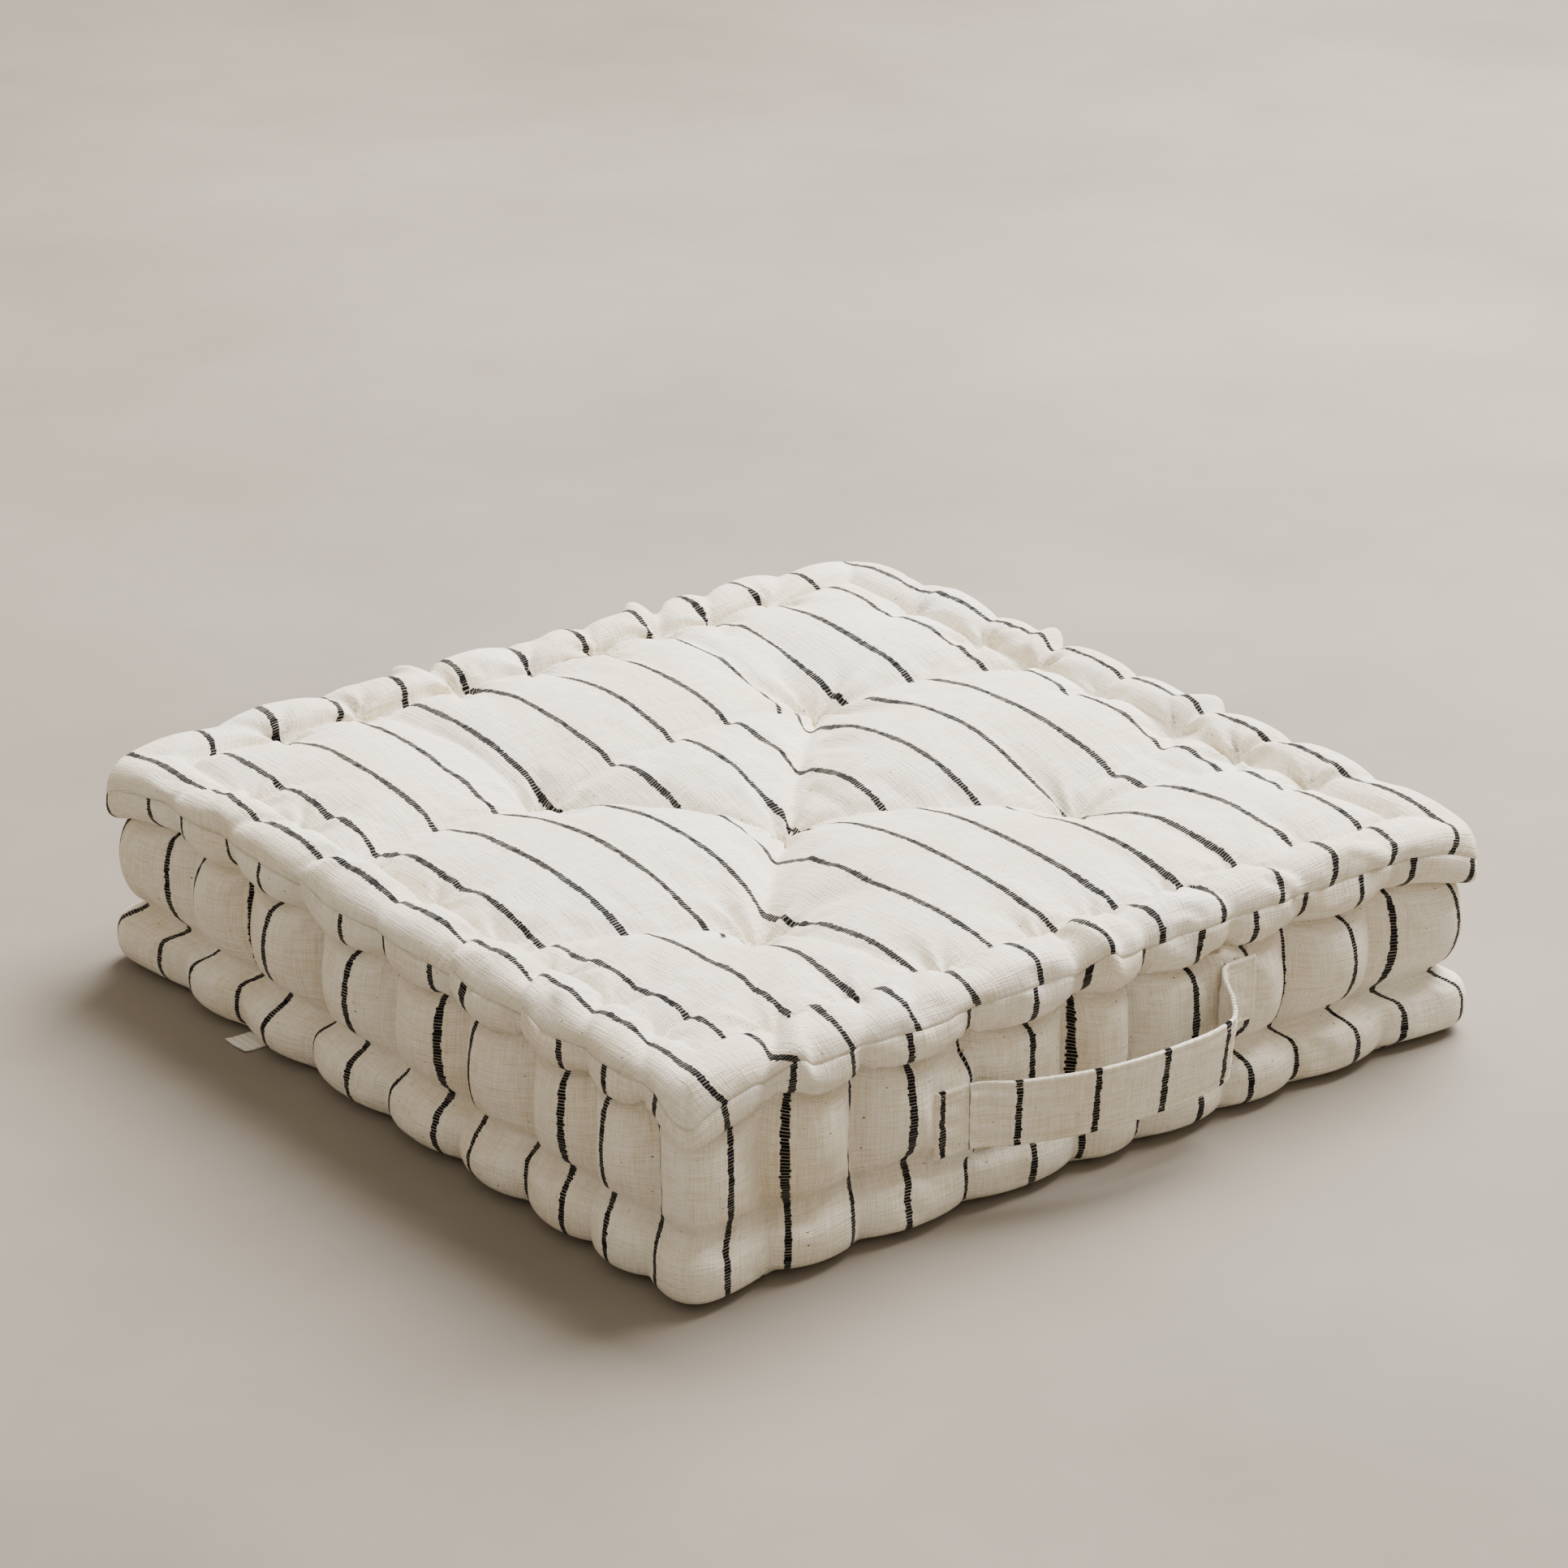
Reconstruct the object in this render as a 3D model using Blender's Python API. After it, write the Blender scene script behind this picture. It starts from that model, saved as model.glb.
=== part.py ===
"""Tufted floor cushion with rolled edges, layered batting and one side handle.

Blender 4.5, metres, +Z up. The cushion stands on z = 0 with its handle towards -Y. Every piece is built about
the middle of the cushion and hangs on one empty, which sets the origin to the middle of the bounding box.
An inset is a distance inwards from the cushion's outer side, a reach is a distance outwards from its wall.
"""

from itertools import product
from math import cos, pi, radians, sin

import bpy
import bmesh
from mathutils import Matrix, Vector
from mathutils.geometry import interpolate_bezier

MM = 0.001

# Overall sizes
WIDTH = 500 * MM
DEPTH = 500 * MM
HEIGHT = 120 * MM
CORNER_RADIUS = 22 * MM

# Cover
CANVAS = 1.0 * MM
SEAM_GAP = 0.3 * MM
TOP_ROLL = 35 * MM
BOTTOM_ROLL = 31 * MM
WALL_SET_IN = 4 * MM
GROOVE_SET_IN = 9 * MM
GROOVE_EASE = 6 * MM
CROWN_DROP = 3 * MM
CROWN_RISE = 14 * MM
UNDER_GROOVE = 6 * MM
UNDER_SEAM_ANGLE = radians(235)
UPPER_GROOVE_ANGLE = radians(240)
LOWER_GROOVE_ANGLE = radians(120)
SEAM_TURN = CANVAS * 1.5

# Tufts
TUFT_X = 100 * MM
TUFT_Y = 100 * MM
TOP_TUFT_DEPTH = 25 * MM
BOTTOM_TUFT_DEPTH = 8 * MM
TWINE_RADIUS = 1.1 * MM
KNOT_RADIUS = 3.2 * MM
KNOT_HEIGHT = 4.5 * MM
KNOT_SHOULDER = KNOT_RADIUS * 0.7

# Filling
LAYER_SPLIT_LOW = 38 * MM
LAYER_SPLIT_HIGH = 79 * MM
FILL_CLEARANCE = 0.5 * MM
LAYER_CLEARANCE = 0.4 * MM
TIE_CLEARANCE = 0.45 * MM

# Handle: where the strap leaves the wall, its section and how far it stands out
STRAP_WIDTH = 34 * MM
STRAP_THICKNESS = 2.4 * MM
STRAP_REACH = 21.5 * MM
STRAP_LEFT_X = -83.5 * MM
STRAP_RIGHT_X = 76.5 * MM
STRAP_LEFT_TOP = 69 * MM
STRAP_RIGHT_TOP = 84 * MM
STRAP_SAG_TOP = 65 * MM
STRAP_TURN_LENGTH = 8 * MM
HANDLE_END_LENGTH = 19 * MM
SEWN_GAP = 0.3 * MM
STRAP_STEPS = 5

# Care label, a tape caught in the bottom seam
LABEL_Y = 117 * MM
LABEL_WIDTH = 18 * MM
LABEL_THICKNESS = 0.7 * MM
LABEL_SHOWS = 5 * MM
LABEL_TUCK = 10 * MM
FLOOR_CLEARANCE = 0.3 * MM

# Colours, linear, and roughness
NATURAL_COTTON = (0.82, 0.78, 0.70, 1)
BATTING_WHITE = (0.74, 0.71, 0.64, 1)
TWINE_CREAM = (0.70, 0.64, 0.52, 1)
LABEL_WHITE = (0.88, 0.88, 0.86, 1)

# A faceted roll's chords lie inside its arc: the widest angle between two of its edges
WIDEST_FACET = radians(35)

# What follows from them
HALF_X = WIDTH / 2
HALF_Y = DEPTH / 2
TOP_RADIUS = TOP_ROLL / 2
BOTTOM_RADIUS = BOTTOM_ROLL / 2
TOP_ROLL_Z = HEIGHT - TOP_RADIUS
CROWN_Z = HEIGHT - CROWN_DROP
WALL_FACE_Y = -(HALF_Y - WALL_SET_IN)
STRAP_FRONT = HALF_Y - WALL_SET_IN + STRAP_REACH + STRAP_THICKNESS / 2
TUFTS = {
    "centre": (0, 0),
    "front_left": (-TUFT_X, -TUFT_Y),
    "front_right": (TUFT_X, -TUFT_Y),
    "back_left": (-TUFT_X, TUFT_Y),
    "back_right": (TUFT_X, TUFT_Y),
}
ORIGIN = Vector((LABEL_SHOWS / 2, (STRAP_FRONT - HALF_Y) / 2, 0))


def clear_scene():
    """Remove every object that the file starts with."""
    for each in list(bpy.data.objects):
        bpy.data.objects.remove(each, do_unlink=True)


def material(name, colour, roughness):
    """A Principled material with one colour."""
    made = bpy.data.materials.new(name)
    made.use_nodes = True
    shader = made.node_tree.nodes["Principled BSDF"]
    shader.inputs["Base Color"].default_value = colour
    shader.inputs["Roughness"].default_value = roughness
    shader.inputs["Metallic"].default_value = 0
    made.diffuse_color = colour
    return made


def add_object(name, vertices, faces, colour, roughness=0.9, smooth_angle=radians(35)):
    """A named object on the cushion's empty, from vertices and faces, with its normals pointing out."""
    mesh = bpy.data.meshes.new(name)
    mesh.from_pydata([tuple(v) for v in vertices], [], faces)
    shape = bmesh.new()
    shape.from_mesh(mesh)
    bmesh.ops.recalc_face_normals(shape, faces=shape.faces)
    shape.to_mesh(mesh)
    shape.free()
    mesh.shade_smooth()
    mesh.set_sharp_from_angle(angle=smooth_angle)
    made = bpy.data.objects.new(name, mesh)
    mesh.materials.append(material(name + "_finish", colour, roughness))
    bpy.context.collection.objects.link(made)
    made.parent = frame_empty
    return made


def solidify(piece, thickness=CANVAS):
    """Give an open sheet its thickness, inwards from the modelled outer face."""
    wall = piece.modifiers.new("canvas", "SOLIDIFY")
    wall.thickness = thickness
    wall.offset = -1
    wall.use_even_offset = True


def cut(piece, cutter):
    """Take a hidden cutter out of a piece."""
    hole = piece.modifiers.new("cut", "BOOLEAN")
    hole.operation = "DIFFERENCE"
    hole.solver = "EXACT"
    hole.object = cutter


def side_lines(half, tuft):
    """Grid lines from -half to half: through the tufts, half-way between them and at the crown's edge."""
    edge = [(tuft + half) / 2, half - CROWN_RISE, half]
    positive = [tuft / 2, tuft] + edge
    return [-x for x in reversed(positive)] + [0] + positive


def rounded(x, y, half_x, half_y, radius):
    """Move a point of a rectangle's outline onto the same outline with round corners."""
    core_x, core_y = half_x - radius, half_y - radius
    near = Vector((min(max(x, -core_x), core_x), min(max(y, -core_y), core_y)))
    away = Vector((x, y)) - near
    if away.length < 1e-9:
        return Vector((x, y))
    return near + away.normalized() * radius


def ring(inset, z, radius=CORNER_RADIUS):
    """One loop of points round the cushion, starting at the front left corner and turning anticlockwise."""
    half_x, half_y = HALF_X - inset, HALF_Y - inset
    share_x = [x / GROOVE_X for x in LINES_X]
    share_y = [y / GROOVE_Y for y in LINES_Y]
    square = [(u * half_x, -half_y) for u in share_x[:-1]]
    square += [(half_x, v * half_y) for v in share_y[:-1]]
    square += [(-u * half_x, half_y) for u in share_x[:-1]]
    square += [(-half_x, -v * half_y) for v in share_y[:-1]]
    corner = max(radius - inset, 0.5 * MM)
    flat = [rounded(x, y, half_x, half_y, corner) for x, y in square]
    return [Vector((p.x, p.y, z)) for p in flat]


GROOVE_X = HALF_X - TOP_ROLL
GROOVE_Y = HALF_Y - TOP_ROLL
LINES_X = side_lines(GROOVE_X, TUFT_X)
LINES_Y = side_lines(GROOVE_Y, TUFT_Y)


def tuft_pull(x, y):
    """How far a tuft pulls the cloth in at a grid point, from 0 to 1; nothing beyond the next grid line."""
    reach_x, reach_y = TUFT_X / 2, TUFT_Y / 2
    return max(1 - max(abs(x - a) / reach_x, abs(y - b) / reach_y) for a, b in TUFTS.values())


def top_height(x, y):
    """Height of the top panel's outer face inside the roll."""
    edge = min(GROOVE_X - abs(x), GROOVE_Y - abs(y))
    rise = min(max(edge / CROWN_RISE, 0), 1)
    pillow = TOP_ROLL_Z + (CROWN_Z - TOP_ROLL_Z) * rise
    return pillow - TOP_TUFT_DEPTH * max(tuft_pull(x, y), 0)


def split(cell, places):
    """A grid cell as two triangles, along the diagonal that a tuft pulls on or, failing that, a radial one."""
    a, b, c, d = cell
    pull = [max(tuft_pull(x, y), 0) for x, y in places]
    favour = pull[0] + pull[2] - pull[1] - pull[3]
    if abs(favour) < 1e-6:
        favour = sum(x for x, y in places) * sum(y for x, y in places)
    if favour > 0:
        return [(a, b, c), (a, c, d)]
    return [(b, c, d), (b, d, a)]


def under_height(x, y):
    """Height of the bottom panel's outer face inside its groove: flat on the floor but for the tufts."""
    at_groove = min(GROOVE_X - abs(x), GROOVE_Y - abs(y)) < 1e-6
    if at_groove:
        return UNDER_GROOVE
    return BOTTOM_TUFT_DEPTH * max(tuft_pull(x, y), 0)


def sheet(name, loops, height=None):
    """An open sheet: loops joined in turn, then a grid inside the last loop when a height is given."""
    vertices, faces = [], []
    count = len(loops[0])
    for loop in loops:
        vertices += loop
    for row in range(len(loops) - 1):
        for k in range(count):
            a, b = row * count + k, row * count + (k + 1) % count
            faces.append((a, b, b + count, a + count))
    if height:
        columns, rows = len(LINES_X), len(LINES_Y)
        start = (len(loops) - 1) * count
        index = {}
        for k in range(count):
            index[outline_cell(k, columns, rows)] = start + k
        for i in range(1, columns - 1):
            for j in range(1, rows - 1):
                index[(i, j)] = len(vertices)
                vertices.append(Vector((LINES_X[i], LINES_Y[j], height(LINES_X[i], LINES_Y[j]))))
        for i in range(columns - 1):
            for j in range(rows - 1):
                corners = [(i, j), (i + 1, j), (i + 1, j + 1), (i, j + 1)]
                places = [(LINES_X[p], LINES_Y[q]) for p, q in corners]
                faces += split([index[corner] for corner in corners], places)
    piece = add_object(name, vertices, faces, NATURAL_COTTON)
    if height is under_height:
        flip_if_needed(piece, up=False)
    elif height:
        flip_if_needed(piece, up=True)
    solidify(piece)
    return piece


def outline_cell(k, columns, rows):
    """Grid cell (column, row) of the k-th point of a loop."""
    if k < columns - 1:
        return k, 0
    k -= columns - 1
    if k < rows - 1:
        return columns - 1, k
    k -= rows - 1
    if k < columns - 1:
        return columns - 1 - k, rows - 1
    return 0, rows - 1 - (k - (columns - 1))


def flip_if_needed(piece, up):
    """Turn an open sheet over so that its middle faces up, or down."""
    mesh = piece.data
    middle = min(mesh.polygons, key=lambda f: f.center.xy.length)
    if (middle.normal.z > 0) != up:
        mesh.flip_normals()


def roll_arc(radius, centre_z, start, end, steps):
    """Inset and height of points round a roll's section; 180 degrees is its outermost point."""
    points = []
    for k in range(steps + 1):
        angle = start + (end - start) * k / steps
        points.append((radius + radius * cos(angle), centre_z + radius * sin(angle)))
    return points


def seam_edge(radius, centre_z, angle, turn):
    """Two points on a roll's tangent beside a seam, so that both cloths end square; turn is 1 or -1."""
    inset, z = radius + radius * cos(angle), centre_z + radius * sin(angle)
    along = (-sin(angle) * turn, cos(angle) * turn)
    runs = (SEAM_GAP / 2, SEAM_GAP / 2 + SEAM_TURN)
    return [(inset + along[0] * run, z + along[1] * run) for run in runs]


def build_top_panel():
    """The top cloth: from the seam over the top roll into the groove, then pillowed to the tufts."""
    section = seam_edge(TOP_RADIUS, TOP_ROLL_Z, pi, -1) + roll_arc(TOP_RADIUS, TOP_ROLL_Z, pi, 0, 6)[1:]
    loops = [ring(inset, z) for inset, z in section]
    piece = sheet("top_panel", loops, top_height)
    cut(piece, tie_holes)


def build_bottom_panel():
    """The bottom cloth: from the seam under the bottom roll, a groove, then flat on the floor."""
    section = seam_edge(BOTTOM_RADIUS, BOTTOM_RADIUS, UNDER_SEAM_ANGLE, 1)
    section += [(BOTTOM_RADIUS, 0), (TOP_ROLL - UNDER_GROOVE, 0), (TOP_ROLL, UNDER_GROOVE)]
    loops = [ring(d, height) for d, height in section]
    piece = sheet("bottom_panel", loops, under_height)
    cut(piece, tie_holes)


def wall_section():
    """Inset and height down the side wall's outer face, from the top seam to the seam underneath."""
    top = seam_edge(TOP_RADIUS, TOP_ROLL_Z, pi, 1)
    top += roll_arc(TOP_RADIUS, TOP_ROLL_Z, pi, UPPER_GROOVE_ANGLE, 2)[1:]
    bottom = roll_arc(BOTTOM_RADIUS, BOTTOM_RADIUS, LOWER_GROOVE_ANGLE, UNDER_SEAM_ANGLE, 4)[:-1]
    bottom += reversed(seam_edge(BOTTOM_RADIUS, BOTTOM_RADIUS, UNDER_SEAM_ANGLE, -1))
    top_groove = HEIGHT - TOP_ROLL
    wall = [
        (GROOVE_SET_IN, top_groove),
        (WALL_SET_IN, top_groove - GROOVE_EASE),
        (WALL_SET_IN, BOTTOM_ROLL + GROOVE_EASE),
        (GROOVE_SET_IN, BOTTOM_ROLL),
    ]
    return top + wall + bottom


def build_boxing():
    """Two L-shaped wall strips, joined on the straights just past the front right and back left corners."""
    loops = [ring(inset, z) for inset, z in wall_section()]
    columns, rows = len(LINES_X) - 1, len(LINES_Y) - 1
    past_corner = 2
    right_join = columns + past_corner
    left_join = columns + rows + columns - past_corner
    count = len(loops[0])
    strips = {
        "boxing_front_left": [k % count for k in range(left_join, count + right_join + 1)],
        "boxing_back_right": list(range(right_join, left_join + 1)),
    }
    for name, picks in strips.items():
        vertices, faces = [], []
        for loop in loops:
            line = [loop[k].copy() for k in picks]
            line[0] = step_towards(line[0], line[1], SEAM_GAP / 2)
            line[-1] = step_towards(line[-1], line[-2], SEAM_GAP / 2)
            vertices += line
        wide = len(picks)
        for row in range(len(loops) - 1):
            for k in range(wide - 1):
                a = row * wide + k
                faces.append((a, a + 1, a + 1 + wide, a + wide))
        piece = add_object(name, vertices, faces, NATURAL_COTTON)
        face_outwards(piece)
        solidify(piece)


def step_towards(point, other, distance):
    """A point moved a given distance towards another."""
    return point + (other - point).normalized() * distance


def face_outwards(piece):
    """Turn an open wall strip so that its faces look away from the cushion's middle."""
    mesh = piece.data
    score = sum(f.normal.xy.dot(f.center.xy) * f.area for f in mesh.polygons)
    if score < 0:
        mesh.flip_normals()


def build_roll_filling(name, radius, centre_z, sides):
    """A closed ring of packed fibre inside a roll."""
    inner = radius * cos(WIDEST_FACET / 2) - CANVAS - FILL_CLEARANCE
    loops = []
    for k in range(sides):
        angle = 2 * pi * k / sides
        loops.append(ring(radius + inner * cos(angle), centre_z + inner * sin(angle)))
    count = len(loops[0])
    vertices = [v for loop in loops for v in loop]
    faces = []
    for row in range(sides):
        for k in range(count):
            a, b = row * count + k, row * count + (k + 1) % count
            c, d = (row + 1) % sides * count + k, (row + 1) % sides * count + (k + 1) % count
            faces.append((a, b, d, c))
    add_object(name, vertices, faces, BATTING_WHITE)


def build_layer(name, inset, lower, upper):
    """A batting layer between two heights, each a function of the place, with holes for the ties."""
    half_x, half_y = HALF_X - inset, HALF_Y - inset
    lines_x = [x for x in LINES_X if abs(x) < min(half_x, GROOVE_X) * 0.97]
    lines_y = [y for y in LINES_Y if abs(y) < min(half_y, GROOVE_Y) * 0.97]
    lines_x = [-half_x] + lines_x + [half_x]
    lines_y = [-half_y] + lines_y + [half_y]
    corner = max(CORNER_RADIUS - inset, 1 * MM)
    vertices, faces = [], []
    wide, deep = len(lines_x), len(lines_y)
    for height in (lower, upper):
        for x in lines_x:
            for y in lines_y:
                place = Vector((x, y))
                if abs(abs(x) - half_x) < 1e-9 and abs(abs(y) - half_y) < 1e-9:
                    place = rounded(x, y, half_x, half_y, corner)
                vertices.append(Vector((place.x, place.y, height(x, y))))
    top = wide * deep
    for i in range(wide - 1):
        for j in range(deep - 1):
            corners = [(i, j), (i + 1, j), (i + 1, j + 1), (i, j + 1)]
            places = [(lines_x[p], lines_y[q]) for p, q in corners]
            for base in (0, top):
                faces += split([base + p * deep + q for p, q in corners], places)
    border = [i * deep for i in range(wide)]
    border += [(wide - 1) * deep + j for j in range(1, deep)]
    border += [i * deep + deep - 1 for i in range(wide - 2, -1, -1)]
    border += [j for j in range(deep - 2, 0, -1)]
    for k, a in enumerate(border):
        b = border[(k + 1) % len(border)]
        faces.append((a, b, top + b, top + a))
    piece = add_object(name, vertices, faces, BATTING_WHITE)
    cut(piece, tie_holes)


def build_batting():
    """Three layers: the lower and upper ones lie inside the rolls, the middle one fills out to the wall."""
    skin = SEAM_TURN + FILL_CLEARANCE
    inside_rolls = TOP_ROLL + skin
    build_layer(
        "batting_bottom_layer",
        TOP_ROLL + CROWN_RISE,
        lambda x, y: skin + BOTTOM_TUFT_DEPTH * max(tuft_pull(x, y), 0),
        lambda x, y: LAYER_SPLIT_LOW - LAYER_CLEARANCE / 2,
    )
    build_layer(
        "batting_middle_layer",
        WALL_SET_IN + CANVAS + FILL_CLEARANCE,
        lambda x, y: LAYER_SPLIT_LOW + LAYER_CLEARANCE / 2,
        lambda x, y: LAYER_SPLIT_HIGH - LAYER_CLEARANCE / 2,
    )
    build_layer(
        "batting_top_layer",
        inside_rolls,
        lambda x, y: LAYER_SPLIT_HIGH + LAYER_CLEARANCE / 2,
        lambda x, y: top_height(x, y) - skin,
    )


def turned(profile, sides):
    """Vertices and faces of a profile of (radius, z) turned about Z; its first and last radii are 0."""
    vertices = [Vector((0, 0, profile[0][1]))]
    for radius, z in profile[1:-1]:
        for k in range(sides):
            angle = 2 * pi * k / sides
            vertices.append(Vector((radius * cos(angle), radius * sin(angle), z)))
    vertices.append(Vector((0, 0, profile[-1][1])))
    last = len(vertices) - 1
    faces = []
    for k in range(sides):
        nxt = (k + 1) % sides
        faces.append((0, 1 + nxt, 1 + k))
        for row in range(len(profile) - 3):
            a, b = 1 + row * sides + k, 1 + row * sides + nxt
            faces.append((a, b, b + sides, a + sides))
        faces.append((last - sides + k, last - sides + nxt, last))
    return vertices, faces


def build_ties():
    """Five ties of twine through the cushion, each with a knot in the tuft above and below."""
    for name, (x, y) in TUFTS.items():
        high = top_height(x, y) + CANVAS
        low = BOTTOM_TUFT_DEPTH - CANVAS
        knot_low = min(KNOT_HEIGHT, low - FLOOR_CLEARANCE)
        profile = [
            (0, low - knot_low),
            (KNOT_SHOULDER, low - knot_low * 0.8),
            (KNOT_RADIUS, low - knot_low * 0.45),
            (TWINE_RADIUS, low),
            (TWINE_RADIUS, high),
            (KNOT_RADIUS, high + KNOT_HEIGHT * 0.55),
            (KNOT_SHOULDER, high + KNOT_HEIGHT * 0.85),
            (0, high + KNOT_HEIGHT),
        ]
        vertices, faces = turned(profile, 8)
        tie = add_object("tuft_tie_" + name, vertices, faces, TWINE_CREAM)
        tie.location = (x, y, 0)


def make_tie_holes():
    """The hidden cutter for the ties: five rods longer than the cushion is high."""
    shape = bmesh.new()
    for x, y in TUFTS.values():
        bmesh.ops.create_cone(
            shape,
            cap_ends=True,
            segments=8,
            radius1=TWINE_RADIUS + TIE_CLEARANCE,
            radius2=TWINE_RADIUS + TIE_CLEARANCE,
            depth=HEIGHT * 2,
            matrix=Matrix.Translation((x, y, HEIGHT / 2)) @ Matrix.Rotation(pi / 8, 4, "Z"),
        )
    mesh = bpy.data.meshes.new("tie_holes")
    shape.to_mesh(mesh)
    shape.free()
    cutter = bpy.data.objects.new("tie_holes", mesh)
    bpy.context.collection.objects.link(cutter)
    cutter.parent = frame_empty
    cutter.hide_render = True
    cutter.display_type = "WIRE"
    return cutter


def strap_route():
    """Places along the strap: (x, reach from the wall, height of its top edge), from left to right."""
    near = SEWN_GAP + STRAP_THICKNESS / 2
    span = STRAP_RIGHT_X - STRAP_LEFT_X
    turn = STRAP_RIGHT_X - STRAP_TURN_LENGTH
    climb = STRAP_RIGHT_TOP - STRAP_SAG_TOP
    fall = STRAP_LEFT_TOP - STRAP_SAG_TOP
    return [
        (STRAP_LEFT_X, near, STRAP_LEFT_TOP),
        (STRAP_LEFT_X + 0.16 * span, 0.34 * STRAP_REACH, STRAP_SAG_TOP + 0.25 * fall),
        (STRAP_LEFT_X + 0.41 * span, 0.85 * STRAP_REACH, STRAP_SAG_TOP),
        (STRAP_LEFT_X + 0.67 * span, STRAP_REACH, STRAP_SAG_TOP),
        (turn - 0.875 * STRAP_TURN_LENGTH, 0.93 * STRAP_REACH, STRAP_SAG_TOP + 2.5 / 19 * climb),
        (turn, 0.6 * STRAP_REACH, STRAP_SAG_TOP + 0.45 * climb),
        (turn + 0.25 * STRAP_TURN_LENGTH, 0.25 * STRAP_REACH, STRAP_RIGHT_TOP - 2 / 19 * climb),
        (STRAP_RIGHT_X, near, STRAP_RIGHT_TOP),
    ]


def smooth_route(points, steps):
    """Points on one smooth curve through the given ones."""
    knots = [Vector(p) for p in points]
    tangents = [knots[min(k + 1, len(knots) - 1)] - knots[max(k - 1, 0)] for k in range(len(knots))]
    along_wall = Vector((1, 0, 0))
    tangents[0] = along_wall * tangents[0].length
    tangents[-1] = along_wall * tangents[-1].length
    line = []
    for k in range(len(knots) - 1):
        reach = (knots[k + 1] - knots[k]).length / 3
        out = knots[k] + tangents[k].normalized() * reach
        back = knots[k + 1] - tangents[k + 1].normalized() * reach
        run = interpolate_bezier(knots[k], out, back, knots[k + 1], steps + 1)
        line += run[:-1]
    return line + [knots[-1]]


def build_strap():
    """The moving strap: a band on edge that follows the route, hinged along its sewn ends' top corners."""
    pivot = Vector((STRAP_LEFT_X, WALL_FACE_Y - SEWN_GAP, STRAP_LEFT_TOP))
    line = smooth_route(strap_route(), STRAP_STEPS)
    vertices, faces = [], []
    for k, point in enumerate(line):
        ahead, behind = line[min(k + 1, len(line) - 1)], line[max(k - 1, 0)]
        run = Vector((ahead.x - behind.x, -(ahead.y - behind.y))).normalized()
        if k in (0, len(line) - 1):
            run = Vector((1, 0))
        side = Vector((run.y, -run.x)) * STRAP_THICKNESS / 2
        middle = Vector((point.x, WALL_FACE_Y - point.y))
        for offset in (side, -side):
            for z in (point.z, point.z - STRAP_WIDTH):
                vertices.append(Vector((middle.x + offset.x, middle.y + offset.y, z)) - pivot)
    for k in range(len(line) - 1):
        a, b = 4 * k, 4 * (k + 1)
        faces += [(a, b, b + 1, a + 1), (a + 2, a + 3, b + 3, b + 2)]
        faces += [(a, a + 2, b + 2, b), (a + 1, b + 1, b + 3, a + 3)]
    last = 4 * (len(line) - 1)
    faces += [(0, 1, 3, 2), (last, last + 2, last + 3, last + 1)]
    strap = add_object("handle_strap", vertices, faces, NATURAL_COTTON)
    strap.location = pivot


def box_mesh(low, high):
    """Vertices and faces of a box between two corners."""
    vertices = [Vector(corner) for corner in product(*zip(low, high))]
    faces = [(0, 1, 3, 2), (4, 6, 7, 5), (0, 4, 5, 1), (2, 3, 7, 6), (0, 2, 6, 4), (1, 5, 7, 3)]
    return vertices, faces


def build_handle_ends():
    """The strap's two ends, sewn flat on the wall beside it."""
    back = WALL_FACE_Y - SEWN_GAP
    left_join, right_join = STRAP_LEFT_X - SEWN_GAP, STRAP_RIGHT_X + SEWN_GAP
    ends = {
        "handle_end_left": (left_join - HANDLE_END_LENGTH, left_join, STRAP_LEFT_TOP),
        "handle_end_right": (right_join, right_join + HANDLE_END_LENGTH, STRAP_RIGHT_TOP),
    }
    for name, (left, right, top) in ends.items():
        vertices, faces = box_mesh((left, back - STRAP_THICKNESS, top - STRAP_WIDTH), (right, back, top))
        add_object(name, vertices, faces, NATURAL_COTTON)


def build_label():
    """The care label: a blank tape from under the bottom roll, lying on the floor."""
    low = (-HALF_X - LABEL_SHOWS, LABEL_Y - LABEL_WIDTH / 2, FLOOR_CLEARANCE)
    high = (-HALF_X + LABEL_TUCK, LABEL_Y + LABEL_WIDTH / 2, FLOOR_CLEARANCE + LABEL_THICKNESS)
    vertices, faces = box_mesh(low, high)
    add_object("care_label", vertices, faces, LABEL_WHITE, roughness=0.6)


clear_scene()
frame_empty = bpy.data.objects.new("cushion_frame", None)
frame_empty.location = ORIGIN
bpy.context.collection.objects.link(frame_empty)
tie_holes = make_tie_holes()
build_top_panel()
build_bottom_panel()
build_boxing()
build_roll_filling("top_roll_filling", TOP_RADIUS, TOP_ROLL_Z, 12)
build_roll_filling("bottom_roll_filling", BOTTOM_RADIUS, BOTTOM_RADIUS, 8)
build_batting()
build_ties()
build_strap()
build_handle_ends()
build_label()
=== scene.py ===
"""Tufted floor cushion in striped handloom cotton, with stitched rolls round its edges and one side handle.

The cushion stands on z = 0, its handle towards -Y. Lengths are in metres; MM turns millimetres into them.
A perimeter runs anticlockwise from the front left corner. An inset is a distance in from the outer side.
"""

import logging
from dataclasses import dataclass, field
from enum import Enum
from functools import partial
import math
from math import cos, exp, pi, radians, sin

import bpy
import numpy as np
from mathutils import Matrix, Vector
from mathutils.bvhtree import BVHTree
from mathutils.geometry import interpolate_bezier


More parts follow.
